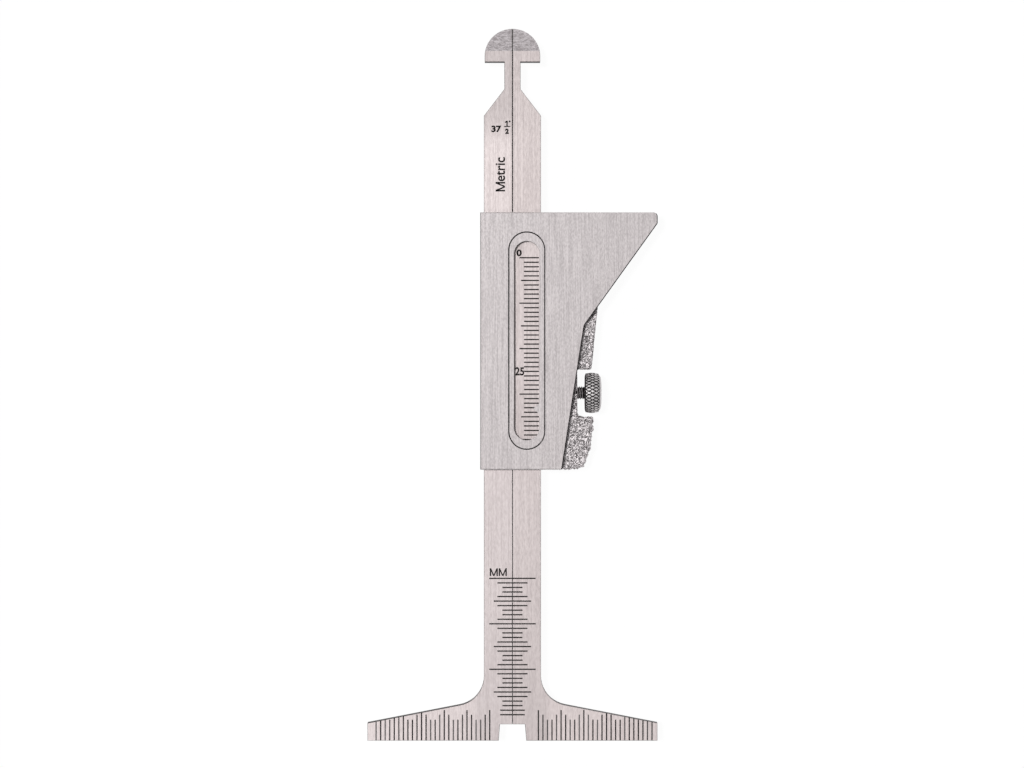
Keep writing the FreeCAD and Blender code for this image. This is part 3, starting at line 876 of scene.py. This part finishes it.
# %% Group: ground grain
ground_grain, entry, leave = new_group(
    "Ground grain",
    [("Metal", "colour", (0.6, 0.57, 0.57)), ("Streak", "colour", (0.5, 0.47, 0.47)),
     ("Across", "value", 4400.0), ("Along", "value", 1500.0), ("Roughness", "value", 0.54)],
    [("Colour", "colour"), ("Roughness", "value"), ("Height", "value")])
place = object_place(ground_grain, (-1000, 300))
stretch = put(ground_grain, "ShaderNodeCombineXYZ", (-800, -200))
for axis, label in (("X", "Across"), ("Y", "Along"), ("Z", "Across")):
    ground_grain.links.new(entry.outputs[label], stretch.inputs[axis])
scaled = put(ground_grain, "ShaderNodeVectorMath", (-600, 100), operation="MULTIPLY")
ground_grain.links.new(place, scaled.inputs[0])
ground_grain.links.new(stretch.outputs[0], scaled.inputs[1])
fine = noise(ground_grain, scaled.outputs[0], 1.0, (-400, 250), detail=3.0, roughness=0.65)
drawn_out = put(ground_grain, "ShaderNodeVectorMath", (-600, -100), operation="MULTIPLY")
drawn_out.inputs[1].default_value = (0.8, 0.06, 0.8)
ground_grain.links.new(scaled.outputs[0], drawn_out.inputs[0])
streaks = noise(ground_grain, drawn_out.outputs[0], 1.0, (-400, 0))
fine_share = maths(ground_grain, "MULTIPLY", fine, 0.58, (-400, -250))
mixed = maths(ground_grain, "MULTIPLY_ADD", streaks, 0.42, (-200, 120), fine_share)
amount = ramp(ground_grain, mixed, 0.36, 0.66, (0, 120))
grained = blend_colours(ground_grain, amount, entry.outputs["Metal"], entry.outputs["Streak"],
                        (250, 250))
ground_grain.links.new(grained, leave.inputs["Colour"])
ground_grain.links.new(
    maths(ground_grain, "MULTIPLY_ADD", amount, 0.05, (250, 0), entry.outputs["Roughness"]),
    leave.inputs["Roughness"])
ground_grain.links.new(fine, leave.inputs["Height"])
print("group:", ground_grain.name)

# %% Group: painted edge shade
painted_edge_shade, entry, leave = new_group(
    "Painted edge shade",
    [("Face", "colour", (0.6, 0.57, 0.57)), ("Chamfer", "colour", (0.3, 0.28, 0.28)),
     ("Right chamfer", "colour", (0.05, 0.045, 0.045)),
     ("Upper chamfer", "colour", (0.3, 0.28, 0.28)), ("Side", "colour", (0.15, 0.14, 0.14)),
     ("End", "colour", (0.08, 0.072, 0.072))],
    [("Colour", "colour"), ("Off face", "value")])
# Chamfers, sides and ends take colours that stand in for light: painted shade where they turn away
# from the soft box, and a painted highlight where they catch it.
normal = put(painted_edge_shade, "ShaderNodeTexCoord", (-1000, 300)).outputs["Normal"]
facing = split(painted_edge_shade, normal, (-800, 200))
upright = maths(painted_edge_shade, "ABSOLUTE", facing["Z"], None, (-600, 200))
off_face = ramp(painted_edge_shade, upright, 0.8, 0.92, (-400, 200), 1.0, 0.0)
sideways = ramp(painted_edge_shade, upright, 0.3, 0.6, (-400, 0), 1.0, 0.0)
rightward = ramp(painted_edge_shade, facing["X"], 0.2, 0.45, (-400, -200))
beside = blend_colours(painted_edge_shade, rightward, entry.outputs["Chamfer"],
                       entry.outputs["Right chamfer"], (-300, -50))
upward = ramp(painted_edge_shade, facing["Y"], 0.45, 0.6, (-400, -600))
chamfers = blend_colours(painted_edge_shade, upward, beside, entry.outputs["Upper chamfer"], (-200, -50))
lengthways = maths(painted_edge_shade, "ABSOLUTE", facing["Y"], None, (-600, -400))
endways = ramp(painted_edge_shade, lengthways, 0.7, 0.9, (-400, -400))
sides = blend_colours(painted_edge_shade, endways, entry.outputs["Side"], entry.outputs["End"],
                      (-300, -250))
edges = blend_colours(painted_edge_shade, sideways, chamfers, sides, (-100, 0))
shaded = blend_colours(painted_edge_shade, off_face, entry.outputs["Face"], edges, (200, 200))
painted_edge_shade.links.new(shaded, leave.inputs["Colour"])
painted_edge_shade.links.new(off_face, leave.inputs["Off face"])
print("group:", painted_edge_shade.name)

# %% Group: black fill
black_fill, entry, leave = new_group(
    "Black fill",
    [("Metal", "colour", (0.6, 0.57, 0.57)), ("Paint", "colour", (0.03, 0.028, 0.028)),
     ("Floor", "value", 0.00625)],
    [("Colour", "colour"), ("Mask", "value")])
spot = put(black_fill, "ShaderNodeTexCoord", (-1000, 300)).outputs
where = split(black_fill, spot["Object"], (-800, 100))
facing = split(black_fill, spot["Normal"], (-800, 300))
flat = maths(black_fill, "GREATER_THAN", facing["Z"], 0.995, (-600, 300))
level = maths(black_fill, "COMPARE", where["Z"], entry.outputs["Floor"], (-600, 100), 0.00003)
wear = noise(black_fill, spot["Object"], 1500.0, (-600, -150))
worn = ramp(black_fill, wear, 0.5, 0.75, (-400, -150), 0.0, 0.16)
mask = maths(black_fill, "MULTIPLY", flat, level, (-400, 200))
paint = blend_colours(black_fill, worn, entry.outputs["Paint"], entry.outputs["Metal"],
                      (-100, -100))
filled = blend_colours(black_fill, mask, entry.outputs["Metal"], paint, (200, 100))
black_fill.links.new(filled, leave.inputs["Colour"])
black_fill.links.new(mask, leave.inputs["Mask"])
print("group:", black_fill.name)

# %% Group: cast skin
cast_skin, entry, leave = new_group(
    "Cast skin",
    [("Light", "colour", (0.92, 0.87, 0.88)), ("Dark", "colour", (0.09, 0.078, 0.08)),
     ("Grain", "value", 1500.0)],
    [("Colour", "colour"), ("Height", "value"), ("Roughness", "value")])
place = object_place(cast_skin, (-1000, 300))
worms = noise(cast_skin, place, entry.outputs["Grain"], (-700, 250), detail=1.0, distortion=0.6)
steep = maths(cast_skin, "MULTIPLY", worms, 27.0, (-500, 250))
winding = maths(cast_skin, "SINE", steep, None, (-350, 250))
ridges = ramp(cast_skin, winding, -0.8, 0.2, (-150, 250))
pits = put(cast_skin, "ShaderNodeTexVoronoi", (-700, -50))
cast_skin.links.new(maths(cast_skin, "MULTIPLY", entry.outputs["Grain"], 1.5, (-850, -50)),
                    pits.inputs["Scale"])
cast_skin.links.new(place, pits.inputs["Vector"])
pitted = ramp(cast_skin, pits.outputs["Distance"], 0.15, 0.45, (-450, -50))
pit_share = maths(cast_skin, "MULTIPLY", pitted, 0.28, (-200, -50))
skin = maths(cast_skin, "MULTIPLY_ADD", ridges, 0.72, (50, 150), pit_share)
# The colour follows the height, so the hollows and pits are darker: partly the skin's own tone,
# partly painted shade.
shaded_skin_colour = blend_colours(cast_skin, skin, entry.outputs["Dark"], entry.outputs["Light"],
                            (300, 250))
cast_skin.links.new(shaded_skin_colour, leave.inputs["Colour"])
cast_skin.links.new(skin, leave.inputs["Height"])
cast_skin.links.new(ramp(cast_skin, skin, 0.0, 1.0, (300, 0), 0.75, 0.6),
                    leave.inputs["Roughness"])
print("group:", cast_skin.name)

# %% [markdown]
# ## The materials
# All the metals are one shader with Metallic at 1, because bare steel has no paint or varnish
# over it. What makes them differ is the grain: how long it is, how strong, and how dark the
# edges stay. A material starts from the same few steps, so one helper makes the empty one,
# another places a group in it, and a third turns a height into relief.

# %% Start a material and place a group in it
def new_material(name, metallic=1.0, roughness=0.4):
    """New material with its node tree and its shader."""
    material = bpy.data.materials.new(name)
    material.use_nodes = True
    tree = material.node_tree
    shader = tree.nodes["Principled BSDF"]
    shader.inputs["Metallic"].default_value = metallic
    shader.inputs["Roughness"].default_value = roughness
    return material, tree, shader


def use_group(tree, group, place, **values):
    """Place a group and set its inputs from colours, numbers or sockets."""
    node = put(tree, "ShaderNodeGroup", place, node_tree=group)
    for label, value in values.items():
        fill_socket(tree, node.inputs[label.replace("_", " ")], value)
    return node


def relief(tree, shader, height, depth, place):
    """Small relief from a height that changes over the surface, depth in mm."""
    bump = put(tree, "ShaderNodeBump", place)
    bump.inputs["Distance"].default_value = depth * MM
    tree.links.new(height, bump.inputs["Height"])
    tree.links.new(bump.outputs["Normal"], shader.inputs["Normal"])


# %% Ground steel with filled lines
def ground_steel(name, metal, streak, chamfers, side, end, floor, across=4400.0, along=1500.0):
    """Ground steel with engraved lines filled with black. The chamfers' colours, painted shade or
    a painted highlight, are given for those that face left or down, right, and up; the sides and
    ends take painted shade."""
    material, tree, shader = new_material(name)
    grain = use_group(tree, ground_grain, (-1100, 200), Metal=metal, Streak=streak, Across=across,
                      Along=along)
    edged = use_group(tree, painted_edge_shade, (-850, 200), Face=grain.outputs["Colour"],
                      Chamfer=chamfers[0], Right_chamfer=chamfers[1], Upper_chamfer=chamfers[2],
                      Side=side, End=end)
    filled = use_group(tree, black_fill, (-600, 200), Metal=edged.outputs["Colour"],
                       Floor=floor * MM)
    tree.links.new(filled.outputs["Colour"], shader.inputs["Base Color"])
    bare = maths(tree, "SUBTRACT", 1.0, filled.outputs["Mask"], (-350, 0))
    tree.links.new(bare, shader.inputs["Metallic"])
    paint_roughness = maths(tree, "MULTIPLY", filled.outputs["Mask"], 0.7, (-500, -150))
    tree.links.new(maths(tree, "MAXIMUM", grain.outputs["Roughness"], paint_roughness,
                         (-350, -150)), shader.inputs["Roughness"])
    relief(tree, shader, grain.outputs["Height"], 0.004, (-350, -350))
    return material, tree, shader, filled


# %% Steel of the plate, with a painted highlight on its foot edge
FOOT_EDGE = HOUSING_FOOT + 0.12
SHADED_EDGES = (0.17, 0.157, 0.157)

# The chamfers are painted by the way they face: those facing right dark as painted shade, those
# facing up light as a painted highlight. The sides and ends take painted shade.
plate_steel, tree, shader, filled = ground_steel(
    "Ground plate steel", metal=(0.625, 0.584, 0.586), streak=(0.505, 0.469, 0.472),
    chamfers=[(0.5, 0.46, 0.46), (0.03, 0.026, 0.026), (0.9, 0.85, 0.85)],
    side=SHADED_EDGES, end=SHADED_EDGES, floor=BORDER_FLOOR)
# A painted highlight along the foot edge lifts the shadow that the plate throws on the blades.
on_plate = split(tree, object_place(tree, (-500, 450)), (-300, 450))
foot_highlight = maths(tree, "LESS_THAN", on_plate["Y"], FOOT_EDGE * MM, (-100, 450))
tree.links.new(blend_colours(tree, foot_highlight, filled.outputs["Colour"], (0.97, 0.93, 0.93),
                             (100, 350)), shader.inputs["Base Color"])
print("material:", plate_steel.name)

# %% [markdown]
# ## Steel of the blades
# The same ground steel, but the blade isn't one even tone. Its upper end is painted a little
# brighter than its lower end, as painted light that falls off down the gauge, the neck is darker
# with painted shade, the feet are a little brighter, and oil has crept out along the upper joint.
# The bevel of the head was ground by hand, across the blade, and is coarser and darker. Each of
# these is one small step that changes the colour by the place on the blade, so each has a helper
# of its own.

# %% Find the painted light and shade along a blade
def painted_light_along_blade(tree, upward, outward, shaded_lower_share, neck_shade, foot):
    """Share of the metal's colour by height and by distance from the joint: painted light that
    falls off towards the feet, painted shade on the neck, and brighter feet.
    """
    tone = blend_colours(tree, ramp(tree, upward, -30 * MM, 45 * MM, (-1100, -250)),
                         shaded_lower_share, (1.0, 1.0, 1.0), (-850, -250))
    shaded_neck = blend_colours(tree, ramp(tree, upward, 51 * MM, 61 * MM, (-1100, -350)),
                         tone, (neck_shade, neck_shade, neck_shade), (-600, -300))
    return blend_colours(tree, ramp(tree, outward, 6.6 * MM, 9.5 * MM, (-900, -100)),
                         shaded_neck, (foot, foot, foot), (-500, -200))


# %% Find the head's bevel and scratch it
def on_bevel(tree, facing):
    """True for the faces that look up and a little towards the head's tip."""
    tipped = maths(tree, "GREATER_THAN", facing["Y"], 0.12, (-1100, -450))
    upright = maths(tree, "GREATER_THAN", facing["Z"], 0.9, (-1100, -600))
    return maths(tree, "MULTIPLY", tipped, upright, (-900, -500))


def hand_ground(tree, spot):
    """Colour of coarse scratches across the blade, a few degrees off square."""
    turned_place = put(tree, "ShaderNodeMapping", (-1300, -800))
    turned_place.inputs["Rotation"].default_value = (0, 0, math.radians(8))
    turned_place.inputs["Scale"].default_value = (1100, 3300, 1200)
    tree.links.new(spot, turned_place.inputs["Vector"])
    scratches = noise(tree, turned_place.outputs["Vector"], 1.0, (-1100, -800), detail=4.0,
                      distortion=1.2)
    return blend_colours(tree, ramp(tree, scratches, 0.39, 0.62, (-900, -800)),
                         (0.48, 0.44, 0.45), (0.81, 0.76, 0.777), (-650, -700))


def beside_joint(tree, upward, outward):
    """True on the 0.14 mm beside the joint, from below the plate's top edge upwards."""
    near = maths(tree, "LESS_THAN", outward, 0.14 * MM, (-900, 0))
    return maths(tree, "MULTIPLY", near, ramp(tree, upward, 28 * MM, 36 * MM, (-1100, 100)),
                 (-700, 50))


# %% Put the blades' steel together
def blade_steel(name, upper, lower, streak, chamfers, neck_shade, foot):
    """Blade steel with an upper and a lower tone, the lower one darker as painted shade. Neck
    shade and foot are shares of the metal's colour on the neck, as painted shade, and on the foot."""
    # The sides and ends of a blade take painted shade.
    material, tree, shader, filled = ground_steel(
        name, upper, streak, chamfers, (0.3, 0.275, 0.275), (0.06, 0.053, 0.053),
        LINE_FLOOR, across=3900.0, along=900.0)
    spot = put(tree, "ShaderNodeTexCoord", (-1500, -500)).outputs
    where = split(tree, spot["Object"], (-1300, -300))
    facing = split(tree, spot["Normal"], (-1300, -500))
    upward = where["Y"]
    outward = maths(tree, "ABSOLUTE", where["X"], None, (-1100, 0))

    shaded_lower_share = tuple(low / high for low, high in zip(lower, upper))
    tone = painted_light_along_blade(tree, upward, outward, shaded_lower_share, neck_shade, foot)
    toned = blend_colours(tree, 1.0, filled.outputs["Colour"], tone, (-350, 450), "MULTIPLY")
    colour = blend_colours(tree, on_bevel(tree, facing), toned,
                           hand_ground(tree, spot["Object"]), (-150, 300))
    oily = blend_colours(tree, beside_joint(tree, upward, outward), colour, (0.3, 0.29, 0.28),
                         (50, 450), "MULTIPLY")
    tree.links.new(oily, shader.inputs["Base Color"])
    return material


# The chamfers carry painted shade: darkest at the joint, where the dark joint adds to it, and dark
# on the outer sides and on the left blade's upper edges. The right blade's upper edges, which face
# the soft box, get a painted highlight.
JOINT_CHAMFER_SHADE = (0.1, 0.09, 0.09)
OUTER_CHAMFER_SHADE = (0.32, 0.29, 0.29)
left_steel = blade_steel(
    "Blade steel, left", upper=(0.73, 0.661, 0.655), lower=(0.681, 0.617, 0.614),
    streak=(0.675, 0.605, 0.6), chamfers=[OUTER_CHAMFER_SHADE, JOINT_CHAMFER_SHADE, (0.1, 0.09, 0.09)],
    neck_shade=0.78, foot=1.05)
right_steel = blade_steel(
    "Blade steel, right", upper=(0.675, 0.607, 0.599), lower=(0.665, 0.599, 0.593),
    streak=(0.604, 0.539, 0.534), chamfers=[JOINT_CHAMFER_SHADE, OUTER_CHAMFER_SHADE, (0.5, 0.46, 0.46)],
    neck_shade=0.93, foot=1.15)
print("materials:", left_steel.name, "and", right_steel.name)

# %% Cast steel, rough, and its machined faces
rough_cast, tree, shader = new_material("Cast steel skin")
skin = use_group(tree, cast_skin, (-700, 200))
tree.links.new(skin.outputs["Colour"], shader.inputs["Base Color"])
tree.links.new(skin.outputs["Roughness"], shader.inputs["Roughness"])
relief(tree, shader, skin.outputs["Height"], 0.07, (-350, -250))

machined_cast, tree, shader = new_material("Machined casting faces")
grain = use_group(tree, ground_grain, (-700, 200), Metal=(0.5, 0.47, 0.475),
                  Streak=(0.42, 0.39, 0.395), Across=1500.0)
tree.links.new(grain.outputs["Colour"], shader.inputs["Base Color"])
tree.links.new(grain.outputs["Roughness"], shader.inputs["Roughness"])
relief(tree, shader, grain.outputs["Height"], 0.006, (-350, -250))
print("materials:", rough_cast.name, "and", machined_cast.name)

# %% Turned steel, with dirt and painted shade towards its core
def screw_finish(name, metal, dirt_and_shade, dark_below):
    """Turned steel: bright where it is rubbed, darkened by dirt and painted shade inside a radius
    in mm.
    """
    material, tree, shader = new_material(name, roughness=0.64)
    spot = object_place(tree, (-1500, 200))
    middle = put(tree, "ShaderNodeVectorMath", (-1300, 200), operation="SUBTRACT")
    middle.inputs[1].default_value = (0, SCREW_Y * MM, SCREW_Z * MM)
    tree.links.new(spot, middle.inputs[0])
    parts = split(tree, middle.outputs[0], (-1100, 200))
    off_axis = put(tree, "ShaderNodeCombineXYZ", (-900, 200))
    tree.links.new(parts["Y"], off_axis.inputs["Y"])
    tree.links.new(parts["Z"], off_axis.inputs["Z"])
    length = put(tree, "ShaderNodeVectorMath", (-700, 200), operation="LENGTH")
    tree.links.new(off_axis.outputs[0], length.inputs[0])
    radial = length.outputs["Value"]
    # Inside the radius the colour turns to the dark one: dirt, and painted shade in the hollows.
    clean = ramp(tree, radial, (dark_below - 0.2) * MM, dark_below * MM, (-450, 200))
    grime = noise(tree, spot, 1800.0, (-700, -50))
    grimy = ramp(tree, grime, 0.25, 0.55, (-450, -50), 0.75, 1.0)
    rubbed = maths(tree, "MULTIPLY", clean, grimy, (-200, 150))
    tree.links.new(blend_colours(tree, rubbed, dirt_and_shade, metal, (50, 250)),
                   shader.inputs["Base Color"])
    turning = put(tree, "ShaderNodeCombineXYZ", (-700, -350))
    tree.links.new(parts["X"], turning.inputs["X"])
    tree.links.new(radial, turning.inputs["Y"])
    rings = noise(tree, turning.outputs[0], 9000.0, (-450, -350))
    relief(tree, shader, rings, 0.003, (-200, -350))
    return material


# %% Steel of the screw, the tops of its knurl and its grooves
# The knurl's tops are bright enough to stand in for a highlight; the dark colour below each radius
# is dirt and painted shade.
turned_steel = screw_finish("Turned screw steel", (0.75, 0.72, 0.725), (0.04, 0.034, 0.035),
                            dark_below=THREAD_RADIUS - 0.25)
knurl_tops = screw_finish("Rubbed knurl with painted highlight", (0.96, 0.93, 0.93), (0.3, 0.28, 0.28), dark_below=3.9)
packed_dirt_and_shade = screw_finish("Dirt and painted shade in grooves", (0.03, 0.026, 0.026), (0.02, 0.017, 0.017),
                           dark_below=3.9)
print("materials:", turned_steel.name, knurl_tops.name, "and", packed_dirt_and_shade.name)

# %% Brass of the shoe and strip steel of the spring
shoe_brass, tree, shader = new_material("Plain brass", roughness=0.3)
stain = noise(tree, object_place(tree, (-900, 200)), 900.0, (-700, 200), detail=4.0)
tree.links.new(blend_colours(tree, ramp(tree, stain, 0.35, 0.7, (-500, 200)),
                             (0.72, 0.53, 0.24), (0.55, 0.38, 0.16), (-250, 200)),
               shader.inputs["Base Color"])
relief(tree, shader, stain, 0.003, (-350, -200))

spring_steel, tree, shader = new_material("Blue spring strip")
grain = use_group(tree, ground_grain, (-700, 200), Metal=(0.42, 0.42, 0.44),
                  Streak=(0.3, 0.31, 0.35), Across=4000.0)
tree.links.new(grain.outputs["Colour"], shader.inputs["Base Color"])
tree.links.new(grain.outputs["Roughness"], shader.inputs["Roughness"])
print("materials:", shoe_brass.name, "and", spring_steel.name)

# %% Black filling of the marks, thinner in some lines of the feet
FOOT_SCALE = 6.2
mark_black, tree, shader = new_material("Black filling", metallic=0.0, roughness=0.7)
shader.inputs["Specular IOR Level"].default_value = 0.25
spot = object_place(tree, (-1300, 200))
speckle = noise(tree, spot, 420.0, (-700, 200), detail=5.0)
sideways = split(tree, spot, (-1100, -50))["X"]
from_joint = maths(tree, "ABSOLUTE", sideways, None, (-900, -50))
on_foot = maths(tree, "GREATER_THAN", from_joint, FOOT_SCALE * MM, (-700, -50))
whole_mm = maths(tree, "MULTIPLY", sideways, 1000.0, (-900, -250))
line_number = maths(tree, "ROUND", whole_mm, None, (-700, -250))
chance = put(tree, "ShaderNodeTexWhiteNoise", (-500, -250), noise_dimensions="1D")
tree.links.new(line_number, chance.inputs["W"])
thinness = ramp(tree, chance.outputs["Value"], 0.35, 0.95, (-300, -250))
thin_line = maths(tree, "MULTIPLY", on_foot, thinness, (-100, -150))
speckled = ramp(tree, speckle, 0.46, 0.7, (-500, 200))
faded = maths(tree, "MULTIPLY_ADD", speckled, 0.25, (-50, 100), thin_line, clamp=True)
tree.links.new(blend_colours(tree, faded, (0.01, 0.008, 0.008), (0.2, 0.185, 0.185), (150, 200)),
               shader.inputs["Base Color"])
print("material:", mark_black.name)

# %% Oil, dust and painted shade in the joint
joint_oil_and_shade, tree, shader = new_material("Oil, dust and painted shade in the joint", metallic=0.0, roughness=0.75)
speckle = noise(tree, object_place(tree, (-900, 200)), 700.0, (-700, 200))
tree.links.new(blend_colours(tree, ramp(tree, speckle, 0.4, 0.7, (-500, 200)),
                             (0.012, 0.01, 0.009), (0.035, 0.03, 0.026), (-250, 200)),
               shader.inputs["Base Color"])
print("material:", joint_oil_and_shade.name)

# %% [markdown]
# ## Dressing the pieces
# A CAD node keeps its mesh and only changes what is in its material slots. The casting has two
# finishes on one mesh, so its machined faces are picked by their place and given the second
# slot.

# %% Give every piece its material
def wear_material(piece, *materials):
    """Empty a piece's material slots and fill them anew."""
    piece.data.materials.clear()
    for material in materials:
        piece.data.materials.append(material)


wear_material(nodes["face_plate"], plate_steel)
wear_material(nodes["left_blade"], left_steel)
wear_material(nodes["right_blade"], right_steel)
wear_material(nodes["clamp_shoe"], shoe_brass)
wear_material(nodes["friction_spring"], spring_steel)
wear_material(nodes["cast_body"], rough_cast)
wear_material(nodes["thumb_screw"], turned_steel)
wear_material(left_marks, mark_black)
wear_material(right_marks, mark_black)
wear_material(border_paint, mark_black)
wear_material(film, joint_oil_and_shade)
screw.material_slots[BARE].material = turned_steel
screw.material_slots[RUBBED_AND_LIT].material = knurl_tops
screw.material_slots[DIRTY_AND_SHADED].material = packed_dirt_and_shade
wear_material(casting, rough_cast, machined_cast)
print("materials in use:", sum(material.users > 0 for material in bpy.data.materials))


# %% Pick the casting's machined faces
def machined(face):
    """True for a face that the mill, the drill or the grinder made."""
    x, y, z = face.center / MM
    if z > SEAT - 0.01 or x < HOUSING_LEFT + 0.01 or y > HOUSING_TOP - 0.01 or z < 0.001:
        return True
    above_floor = z > CHANNEL_FLOOR - 0.01
    in_channel = above_floor and abs(x) < CHANNEL + 0.005
    in_nest = (above_floor and CHANNEL < x < NEST_WALL + 0.01
               and NEST_FOOT - 0.01 < y < NEST_TOP + 0.01 and abs(face.normal.z) < 0.01)
    in_bore = x < BAY_WALL - 0.4 and from_axis(face.center) < BORE_RADIUS + 0.01
    return in_channel or in_nest or in_bore


machined_faces = pick(casting, "FACE", machined)
assign_slot(casting, 1)
leave_edit()
print("machined faces:", machined_faces)

# %% [markdown]
# ## What moves with what
# Each piece rides on one body of the mechanism. The casting and the screw stand in for their CAD
# nodes, which stay behind for the collision model and aren't shown.

# %% Ride, replace, slot
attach(casting, "housing")
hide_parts("cast_body")
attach(screw, "screw")
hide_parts("thumb_screw")
for piece, body in ((left_marks, "left_blade"), (right_marks, "right_blade"),
                    (film, "left_blade")):
    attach(piece, body)
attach(border_paint, "housing")
print("riding:", ", ".join(piece.name for piece in (casting, screw, left_marks, right_marks,
                                                    film, border_paint)))

# %% [markdown]
# ## Light table, lamp and camera
# The gauge lies on a pale table and is seen from straight above. Flat ground steel is lit by
# what it mirrors, so most of the light is one soft box high on the upper left, which also draws
# the thin shadows along the window. Overhead the rest is a dim dome that falls off to the lower
# right. Near the horizon it is brighter, like the walls of a pale room, so that the steel
# doesn't turn black when it is seen from the side. The table is white to the camera and in
# reflections, and keeps a part of its own shading so that the gauge's shadow stays on it.

# %% The table
TABLE_GAP = 0.1
bpy.ops.mesh.primitive_plane_add(size=8, location=(0, 0, -TABLE_GAP * MM))
table = bpy.context.active_object
table.name = "light_table"
table_white, tree, shader = new_material("Table white", metallic=0.0, roughness=0.9)
shader.inputs["Base Color"].default_value = (0.93, 0.93, 0.93, 1)
glow = put(tree, "ShaderNodeEmission", (-200, -200))
rays = put(tree, "ShaderNodeLightPath", (-700, 300))
seen = maths(tree, "MAXIMUM", rays.outputs["Is Camera Ray"], rays.outputs["Is Glossy Ray"],
             (-500, 300))
seen = maths(tree, "MAXIMUM", seen, rays.outputs["Is Transmission Ray"], (-350, 300))
share = put(tree, "ShaderNodeMixShader", (300, 100))
tree.links.new(maths(tree, "MULTIPLY", seen, 0.9, (-150, 300)), share.inputs[0])
tree.links.new(shader.outputs[0], share.inputs[1])
tree.links.new(glow.outputs[0], share.inputs[2])
tree.links.new(share.outputs[0], tree.nodes["Material Output"].inputs["Surface"])
glow.inputs["Strength"].default_value = 1.05
wear_material(table, table_white)
print("table, mm below the gauge:", TABLE_GAP)

# %% The dome
world = bpy.data.worlds.new("Studio dome")
bpy.context.scene.world = world
world.use_nodes = True
tree = world.node_tree
backdrop = tree.nodes["Background"]
direction = put(tree, "ShaderNodeTexCoord", (-900, 0))
towards = put(tree, "ShaderNodeVectorMath", (-700, 0), operation="DOT_PRODUCT")
towards.inputs[1].default_value = Vector((-0.45, 0.45, 0.77)).normalized()
tree.links.new(direction.outputs["Generated"], towards.inputs[0])
overhead = blend_colours(tree, ramp(tree, towards.outputs["Value"], -0.5, 0.9, (-500, 0)),
                         (0.07, 0.07, 0.072), (0.26, 0.26, 0.26), (-250, 0))
height = split(tree, direction.outputs["Generated"], (-700, -250))["Z"]
above_walls = ramp(tree, height, 0.3, 0.62, (-500, -250))
tree.links.new(blend_colours(tree, above_walls, (0.42, 0.42, 0.425), overhead, (-50, 0)),
               backdrop.inputs["Color"])
backdrop.inputs["Strength"].default_value = 1.0
print("dome:", world.name)

# %% The soft box
LAMP_PLACE = (-0.69, 0.26, 2.88)
bpy.ops.object.light_add(type="AREA", location=LAMP_PLACE)
soft_box = bpy.context.active_object
soft_box.name = "soft_box"
soft_box.data.shape = "SQUARE"
soft_box.data.size = 0.42
soft_box.data.energy = 35.0
soft_box.rotation_euler = (-soft_box.location).to_track_quat("-Z", "Y").to_euler()
soft_box.visible_camera = False
print("soft box, m from the gauge:", round(soft_box.location.length, 2))

# %% The camera
SPAN = 225.05
SPAN_LEVEL = 7.0
LENS = 100.0
SENSOR = 36
camera_data = bpy.data.cameras.new("camera")
camera = bpy.data.objects.new("camera", camera_data)
bpy.context.scene.collection.objects.link(camera)
camera_data.lens = LENS
camera_data.sensor_width = SENSOR
camera_data.clip_start = 0.05
camera.location = (-0.1 * MM, 0.09 * MM, (SPAN_LEVEL + SPAN * LENS / SENSOR) * MM)
bpy.context.scene.camera = camera
bpy.context.scene.view_settings.view_transform = "Standard"
print("camera height above the face, mm:", round(camera.location.z / MM - SPAN_LEVEL, 1))
